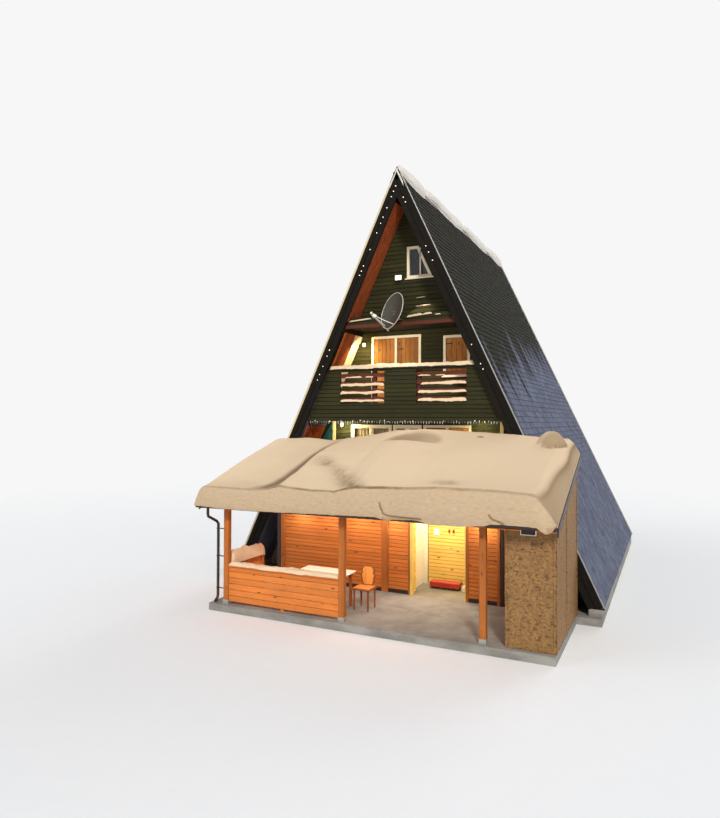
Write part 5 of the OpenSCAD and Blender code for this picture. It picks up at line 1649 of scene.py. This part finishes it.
class CABIN_OT_gutter(bpy.types.Operator):
    """Gutter with its fall and brackets, downpipe, fascia, and the weather panels' cover strips"""

    bl_idname = "cabin.gutter"
    bl_label = "Gutter and weather panels"

    def execute(self, context):
        low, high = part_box("gutter")
        middle, radius = (low.y + high.y) / 2, (high.y - low.y) / 2
        turns = [pi + pi * k / 14 for k in range(15)]

        def arc(x, y, z, size, turns=turns):
            return [(x, y + size * cos(t), z + size * sin(t)) for t in turns]

        def shell(x, outer, inner):
            rim = gutter_rim(x)
            return arc(x, middle, rim, outer) + arc(x, middle, rim, inner, turns[::-1])

        channel = Shape()
        stops = [low.x + (high.x - low.x) * k / 30 for k in range(31)]
        channel.loft([shell(x, radius, radius - 0.003) for x in stops], soft=True)
        for ends in ((low.x, low.x + 0.004), (high.x - 0.004, high.x)):
            channel.loft([arc(x, middle, gutter_rim(x), radius) for x in ends])
        for x in (low.x + 1.9, low.x + 3.9, low.x + 5.9):
            channel.loft([shell(end, 1.05 * radius, radius) for end in (x, x + 0.05)])
        channel.done("gutter_channel", ["metal"], "brown_metal", hides=("gutter",))
        pipe = Shape()
        knee_x = POSTS_LOW.x - 0.19
        y = POST_Y
        x = -3.16
        drop = [(x, middle, gutter_rim(x) - radius + 0.008), (x, middle, 2.13),
                (-3.163, middle + 0.02, 2.075), (-3.19, y - 0.05, 1.93), (knee_x, y, 1.87),
                (knee_x, y, 0.30), (knee_x, y - 0.02, 0.245), (knee_x, y - 0.10, 0.19)]
        pipe.tube(drop, 0.031, 12)
        for z in (0.45, 1.15, 1.75):
            pipe.tube([(knee_x, y, z), (knee_x, y, z + 0.03)], 0.036, 12)
            pipe.bar((knee_x + 0.02, y - 0.012, z + 0.005), (POSTS_LOW.x - 0.001, y + 0.012, z + 0.025),
                     0.003)
        pipe.done("downpipe_tube", ["metal"], "brown_metal", hides=("downpipe",))
        fascia = Shape()
        a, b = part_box("porch_fascia")
        rings = []
        for x in (a.x, b.x):
            foot = gutter_rim(x) - radius + 0.004
            rings.append([(x, a.y, foot), (x, b.y, foot), (x, b.y, b.z), (x, a.y, b.z)])
        fascia.loft(rings)
        fascia.done("fascia_board", ["metal"], "brown_metal", hides=("porch_fascia",))
        bracket = Shape()
        bracket.loft([arc(x, 0, 0, 1.07 * radius, turns[::2]) + arc(x, 0, 0, 1.01 * radius, turns[::-2])
                      for x in (-0.012, 0.012)])
        tree = repeat_tree(paints("metal")[0])
        straps = Shape()
        count = 12
        step = (high.x - low.x - 0.3) / (count - 1)
        straps.take(tree.grow(mesh_of(bracket), Count=count,
                              Start=(low.x + 0.15, middle, gutter_rim(low.x + 0.15)),
                              Step=(step, 0.0, gutter_rim(step) - gutter_rim(0)), Seed=2))
        straps.done("gutter_brackets", ["metal"], "brown_metal")
        edges = Shape()
        a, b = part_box("front_weather_panel")
        sash(edges, a.x, b.x + 0.04, a.z, b.z, a.y - 0.014, a.y, 0.05, 0.3)
        a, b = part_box("side_weather_panel")
        edges.coat = 1
        for y, top in ((a.y, BEAM_LOW.z), (-1.45, lean_top(-1.45) - 0.19),
                       (b.y - 0.06, lean_top(b.y - 0.06) - 0.19)):
            edges.bar((b.x, y, a.z), (b.x + 0.014, y + 0.06, top), 0.005, 0, 2)
        edges.done("panel_battens", ["strand", "strand"], "strand_board")
        return {"FINISHED"}


class CABIN_OT_door(bpy.types.Operator):
    """Panel mouldings and lock plates of the entrance door"""

    bl_idname = "cabin.door"
    bl_label = "Entrance door"

    def execute(self, context):
        low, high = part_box("entrance_door")
        leaf = Shape()
        # Faces and hinge edge of the leaf, which its box doesn't give because of levers and hinges
        x0, x1, hinge_edge = 0.280, 0.322, 0.9842
        y0, y1 = low.y, min(high.y, hinge_edge)
        z0, z1 = low.z, high.z
        for a, b in ((x0 - 0.007, x0), (x1, x1 + 0.007)):
            for za, zb in ((z0 + 0.12, z0 + 0.86), (z0 + 0.98, z1 - 0.12)):
                leaf.bar((a, y0 + 0.12, za), (b, y0 + 0.14, zb), 0.002, 0.2, 2)
                leaf.bar((a, y1 - 0.14, za), (b, y1 - 0.12, zb), 0.002, 0.2, 2)
                leaf.bar((a, y0 + 0.14, za), (b, y1 - 0.14, za + 0.02), 0.002, 0.2, 1)
                leaf.bar((a, y0 + 0.14, zb - 0.02), (b, y1 - 0.14, zb), 0.002, 0.2, 1)
        leaf.coat = 1
        for way in (-1, 1):
            a, b = sorted((x0 + x1) / 2 + way * off for off in (0.024, 0.028))
            leaf.bar((a, y0 + 0.05, z0 + 0.93), (b, y0 + 0.09, z0 + 1.13), 0.002)
        leaf.done("door_mouldings", ["white", "steel"], "door_white", body="door")
        return {"FINISHED"}


class CABIN_OT_porch_things(bpy.types.Operator):
    """Table, chair, and in the entrance a bench with a red mat, a box and small things on the wall"""

    bl_idname = "cabin.porch_things"
    bl_label = "Porch furniture"

    def execute(self, context):
        luck = random.Random(51)
        low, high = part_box("porch_table")
        table = Shape()
        boards = 6
        step = (high.y - low.y) / boards
        for k in range(boards):
            table.bar((low.x, low.y + k * step, high.z - 0.028),
                      (high.x, low.y + (k + 1) * step - 0.003, high.z), 0.005, luck.uniform(-1, 1), 0)
        table.coat = 1
        for y in (low.y + 0.045, high.y - 0.075):
            table.bar((low.x + 0.06, y, high.z - 0.12), (high.x - 0.06, y + 0.03, high.z - 0.03),
                      0.005, 0, 0)
        for x in (low.x + 0.06, high.x - 0.12):
            for y in (low.y + 0.05, high.y - 0.11):
                table.bar((x, y, low.z), (x + 0.06, y + 0.06, high.z - 0.03), 0.008, luck.uniform(-1, 1), 2)
        table.done("table_boards", ["table", "chair"], "table_white", hides=("porch_table",))
        low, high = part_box("porch_chair")
        chair = Shape()
        seat = low.z + 0.46
        chair.bar((low.x, low.y, seat - 0.035), (high.x, high.y, seat), 0.014, 0.2, 0)
        for x in (low.x + 0.03, high.x - 0.07):
            for y in (low.y + 0.03, high.y - 0.06):
                chair.tube([(x + 0.02, y + 0.02, seat - 0.03), (x + 0.02, y + 0.02, low.z)],
                           [0.024, 0.017], 8)
        width = high.x - low.x
        outline = []
        for k in range(25):
            t = k / 24
            z = seat + 0.42 * t
            bulge = 0.34 * sin(pi * (0.15 + 0.8 * t))
            wave = 0.2 * sin(3 * pi * t) ** 2 * t
            outline.append((0.5 * width * (0.42 + bulge + wave), z))
        middle = (low.x + high.x) / 2
        points = [(middle + r, z) for r, z in outline] + [(middle - r, z) for r, z in reversed(outline)]
        chair.plate(points, high.y - 0.040, high.y - 0.012, 0.3)
        chair.coat = 1
        inner = [(middle + 0.78 * (x - middle), seat + 0.02 + 0.90 * (z - seat)) for x, z in points]
        chair.plate(inner, high.y - 0.046, high.y - 0.038, 0.4)
        chair.bar((low.x + 0.03, low.y + 0.03, seat), (high.x - 0.03, high.y - 0.06, seat + 0.008),
                  0.004, 0.2, 0)
        chair.done("chair_wood", ["chair", "tan"], "chair_wood", hides=("porch_chair",))
        things = Shape()
        # Bench, mat on it, box beside it, plaque and two ornaments on the wall
        things.bar((0.60, 0.58, PORCH_FLOOR + 0.11), (1.34, 0.86, PORCH_FLOOR + 0.14), 0.008, 0, 0)
        for x in (0.64, 1.26):
            things.bar((x, 0.60, PORCH_FLOOR), (x + 0.04, 0.84, PORCH_FLOOR + 0.11), 0.006, 0, 2)
        things.coat = 1
        things.bar((0.61, 0.57, PORCH_FLOOR + 0.14), (1.33, 0.85, PORCH_FLOOR + 0.165), 0.01, 0, 0)
        things.bar((0.61, 0.562, PORCH_FLOOR + 0.05), (1.33, 0.572, PORCH_FLOOR + 0.16), 0.004, 0, 0)
        things.coat = 2
        things.bar((1.38, 0.62, PORCH_FLOOR), (1.46, 0.84, PORCH_FLOOR + 0.10), 0.012, 0, 1)
        y = RECESS_BACK - 0.018
        things.bar((0.555, y - 0.02, 1.34), (0.705, y, 1.50), 0.006, 0.3, 2)
        things.coat = 0
        for x in (0.925, 1.035):
            things.bar((x, y - 0.014, 1.43), (x + 0.05, y, 1.51), 0.012, -0.5, 2)
            for top, foot in ((0.012, 0.008), (0.038, 0.042)):
                things.tube([(x + top, y - 0.006, 1.43), (x + foot, y - 0.006, 1.40)], 0.006, 6)
        things.done("entrance_things", ["chair", "mat", "white"], "chair_wood")
        return {"FINISHED"}


class CABIN_OT_finishes(bpy.types.Operator):
    """Materials of the CAD parts that show as they are"""

    bl_idname = "cabin.finishes"
    bl_label = "Finishes of the frame"

    coats = {
        "concrete": ("house_slab", "foot_strips", "porch_floor"),
        "render": ("lower_front_wall", "lower_rear_wall"),
        "floor": ("main_floor", "upper_floor"),
        "siding_back": ("loft_floor", "main_front_wall", "main_rear_wall", "upper_front_wall",
                        "upper_rear_wall", "front_gable_wall", "rear_gable_wall", "balcony_parapet",
                        "balcony_cap"),
        "shingles": ("roof_left", "roof_right"),
        "metal": ("ridge_cap", "porch_fascia", "porch_verges", "gutter", "downpipe"),
        "barge": ("front_barge", "rear_barge"),
        "slat": ("balcony_slats",),
        "cream": ("front_window_frames", "rear_window_frames"),
        "glass": ("front_window_glass", "rear_window_glass"),
        "dish": ("satellite_dish",),
        "steel": ("dish_bracket",),
        "pine_back": ("porch_wall_left", "porch_wall_right", "porch_wall_head"),
        "pine_side": ("porch_rafters",),
        "deck": ("porch_roof", "hall_roof"),
        "pale_back": ("recess_back_boards",),
        "pale_side": ("recess_left_wall", "recess_right_wall", "recess_ceiling", "door_head"),
        "white": ("door_frame", "entrance_door"),
        "strand": ("front_weather_panel", "side_weather_panel"),
    }

    def execute(self, context):
        for coat, names in self.coats.items():
            material = paints(coat)[0]
            for name in names:
                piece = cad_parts[name]
                if not piece.material_slots:
                    raise RuntimeError(name + " has no material slot")
                for slot in piece.material_slots:
                    slot.material = material
        return {"FINISHED"}


class CABIN_OT_stage(bpy.types.Operator):
    """Floor, daylight, lamps and the camera at the photograph's place"""

    bl_idname = "cabin.stage"
    bl_label = "Stage"

    paper = (0.93, 0.93, 0.93, 1.0)
    warm = (1.0, 0.88, 0.66)
    # Name, place, strength, spread in degrees and colour
    suns = (
        ("key", (6.5, -12, 9), 2.1, 9, (1.0, 0.95, 0.88)),
        ("fill", (-10, -6, 7), 0.35, 40, (0.93, 0.96, 1.0)),
        ("back", (4, 12, 8), 0.6, 30, (0.94, 0.97, 1.0)))
    # Name, place, target, size, power and colour
    lamps = (
        ("balcony", (-0.2, 0.35, 6.3), (0.1, 1.2, 5.7), 1.6, 18, warm),
        ("balcony left", (-1.30, 0.72, 5.98), (-1.45, 1.15, 5.70), 0.2, 12, (1.0, 0.8, 0.36)),
        ("under balcony", (-0.3, 0.50, 4.05), (-0.3, 1.15, 3.75), 2.8, 17, warm),
        ("under balcony right", (1.75, 0.80, 4.06), (1.75, 1.15, 3.8), 0.2, 5, (1.0, 0.9, 0.5)),
        ("under balcony left", (-1.9, 0.80, 4.06), (-1.85, 1.15, 3.8), 0.2, 13, (1.0, 0.9, 0.5)),
        ("porch middle", (-0.8, -1.3, 2.2), (-0.8, -0.2, 1.2), 3.0, 26, (1.0, 0.86, 0.68)),
        ("porch front", (1.2, -1.7, 2.15), (0.6, -1.2, 0.4), 1.2, 13, (1.0, 0.9, 0.74)),
        ("entrance", (1.06, 0.35, 2.3), (1.06, 0.7, 1.0), 0.6, 27, (1.0, 0.92, 0.66)))
    # Place along the porch wall and power of its lamps
    wall_lamps = ((-2.45, 4.4), (-1.6, 2.2), (-0.85, 3.2), (0.05, 4.2), (2.15, 5.0))

    def execute(self, context):
        scene = context.scene
        scene.view_settings.view_transform = "Standard"
        self.ground(scene)
        self.daylight(scene)
        for name, spot, power, spread, colour in self.suns:
            self.light(scene, "SUN", name, (0, 0, 0), spot, power, colour).angle = radians(spread)
        rows = list(self.lamps)
        rows[5:5] = [("porch wall", (x, -0.46, 1.99), (x, -0.15, 1.55), 0.3, power, (1.0, 0.95, 0.85))
                     for x, power in self.wall_lamps]
        for name, spot, target, size, power, colour in rows:
            away = Vector(spot) - Vector(target)
            self.light(scene, "AREA", name, spot, away, power, colour).size = size
        self.camera(scene)
        return {"FINISHED"}

    def ground(self, scene):
        """A pale floor that turns into the background far away"""
        mesh = bpy.data.meshes.new("floor")
        corners = [(x, y, -0.004) for x, y in ((-150, -150), (150, -150), (150, 150), (-150, 150))]
        mesh.from_pydata(corners, [], [(0, 1, 2, 3)])
        paint = Paint("pale floor", Roughness=0.9, Specular_IOR_Level=0.1)
        speck = paint.noise(paint.here(), 3.0, 4.0, 0.6)
        paint.finish(paint.shade(self.paper, speck * 0.03 + 0.985))
        white = paint.node("Emission", {}, {"Color": self.paper, "Strength": 1.0})
        far = paint.node("VectorMath", {"operation": "LENGTH"}, {0: paint.node("TexCoord", out=3)}, out=1)
        share = paint.smooth(far, 9.0, 34.0) * paint.node("LightPath", out=0)
        mixed = paint.node("MixShader", {}, {0: share, 1: Wave(paint, paint.shader.outputs[0]), 2: white})
        paint.feed(paint.tree.nodes["Material Output"].inputs[0], mixed)
        mesh.materials.append(paint.material)
        floor = bpy.data.objects.new("floor", mesh)
        scene.collection.objects.link(floor)

    def daylight(self, scene):
        """A dim blue sky, which the camera, glossy and clear surfaces see as the background"""
        world = bpy.data.worlds.new("daylight")
        world.use_nodes = True
        scene.world = world
        sky = Nodes()
        sky.tree = world.node_tree
        back = sky.tree.nodes["Background"]
        seen = sky.tree.nodes.new("ShaderNodeLightPath")
        camera, glossy, clear = (Wave(sky, seen.outputs["Is %s Ray" % kind])
                                 for kind in ("Camera", "Glossy", "Transmission"))
        looks = sky.maths("MAXIMUM", sky.maths("MAXIMUM", camera, glossy), clear)
        sky.feed(back.inputs["Color"], (0.86, 0.92, 1.0, 1))
        sky.feed(back.inputs["Strength"], 0.48)
        paper = sky.node("Background", {}, {"Color": self.paper, "Strength": 1.0})
        mixed = sky.node("MixShader", {}, {0: looks, 1: Wave(sky, back.outputs[0]), 2: paper})
        sky.feed(sky.tree.nodes["World Output"].inputs[0], mixed)

    def light(self, scene, kind, name, spot, away, power, colour):
        """A light at a spot that shines against the direction away"""
        data = bpy.data.lights.new(name, kind)
        data.energy = power
        data.color = colour
        piece = bpy.data.objects.new(name, data)
        scene.collection.objects.link(piece)
        turn = Vector(away).to_track_quat("Z", "Y").to_matrix().to_4x4()
        piece.matrix_world = Matrix.Translation(spot) @ turn
        return data

    def camera(self, scene):
        """The photograph's camera, worked out from the edges of the roof and the porch"""
        data = bpy.data.cameras.new("camera")
        data.lens = 28.23
        data.clip_end = 400
        camera = bpy.data.objects.new("camera", data)
        scene.collection.objects.link(camera)
        yaw, pitch, roll = radians(26.013), radians(1.035), radians(0.159)
        ahead = Vector((-sin(yaw) * cos(pitch), cos(yaw) * cos(pitch), sin(pitch)))
        right = Vector((cos(yaw), sin(yaw), 0))
        tilted = right * cos(roll) + right.cross(ahead) * sin(roll)
        place = Vector((5.858, -14.008, 4.149))
        camera.matrix_world = frame_at(tilted, ahead.cross(tilted) * -1, ahead * -1, place)
        scene.camera = camera


class CABIN_PT_panel(bpy.types.Panel):
    """Lists the cabin's pieces"""

    bl_idname = "CABIN_PT_panel"
    bl_label = "A-frame cabin"
    bl_space_type = "VIEW_3D"
    bl_region_type = "UI"
    bl_category = "Cabin"

    def draw(self, context):
        for group in (context.scene.cabin_sizes, context.scene.cabin_colours):
            box = self.layout.box()
            for key in group.__annotations__:
                box.prop(group, key)
        for piece in PIECES:
            self.layout.operator(piece.bl_idname)


PIECES = (CABIN_OT_stage, CABIN_OT_finishes, CABIN_OT_roof, CABIN_OT_siding, CABIN_OT_trim, CABIN_OT_windows,
          CABIN_OT_balcony, CABIN_OT_ridge_snow, CABIN_OT_dish, CABIN_OT_lamps, CABIN_OT_porch_walls,
          CABIN_OT_porch_frame, CABIN_OT_porch_snow, CABIN_OT_gutter, CABIN_OT_door, CABIN_OT_porch_things)
CLASSES = (CabinSizes, CabinColours) + PIECES + (CABIN_PT_panel,)


def register():
    for item in CLASSES:
        bpy.utils.register_class(item)
    bpy.types.Scene.cabin_sizes = bpy.props.PointerProperty(type=CabinSizes)
    bpy.types.Scene.cabin_colours = bpy.props.PointerProperty(type=CabinColours)


def unregister():
    del bpy.types.Scene.cabin_colours
    del bpy.types.Scene.cabin_sizes
    for item in reversed(CLASSES):
        bpy.utils.unregister_class(item)


def main():
    register()
    for piece in PIECES:
        group, name = piece.bl_idname.split(".")
        getattr(getattr(bpy.ops, group), name)()


if __name__ == "__main__":
    main()
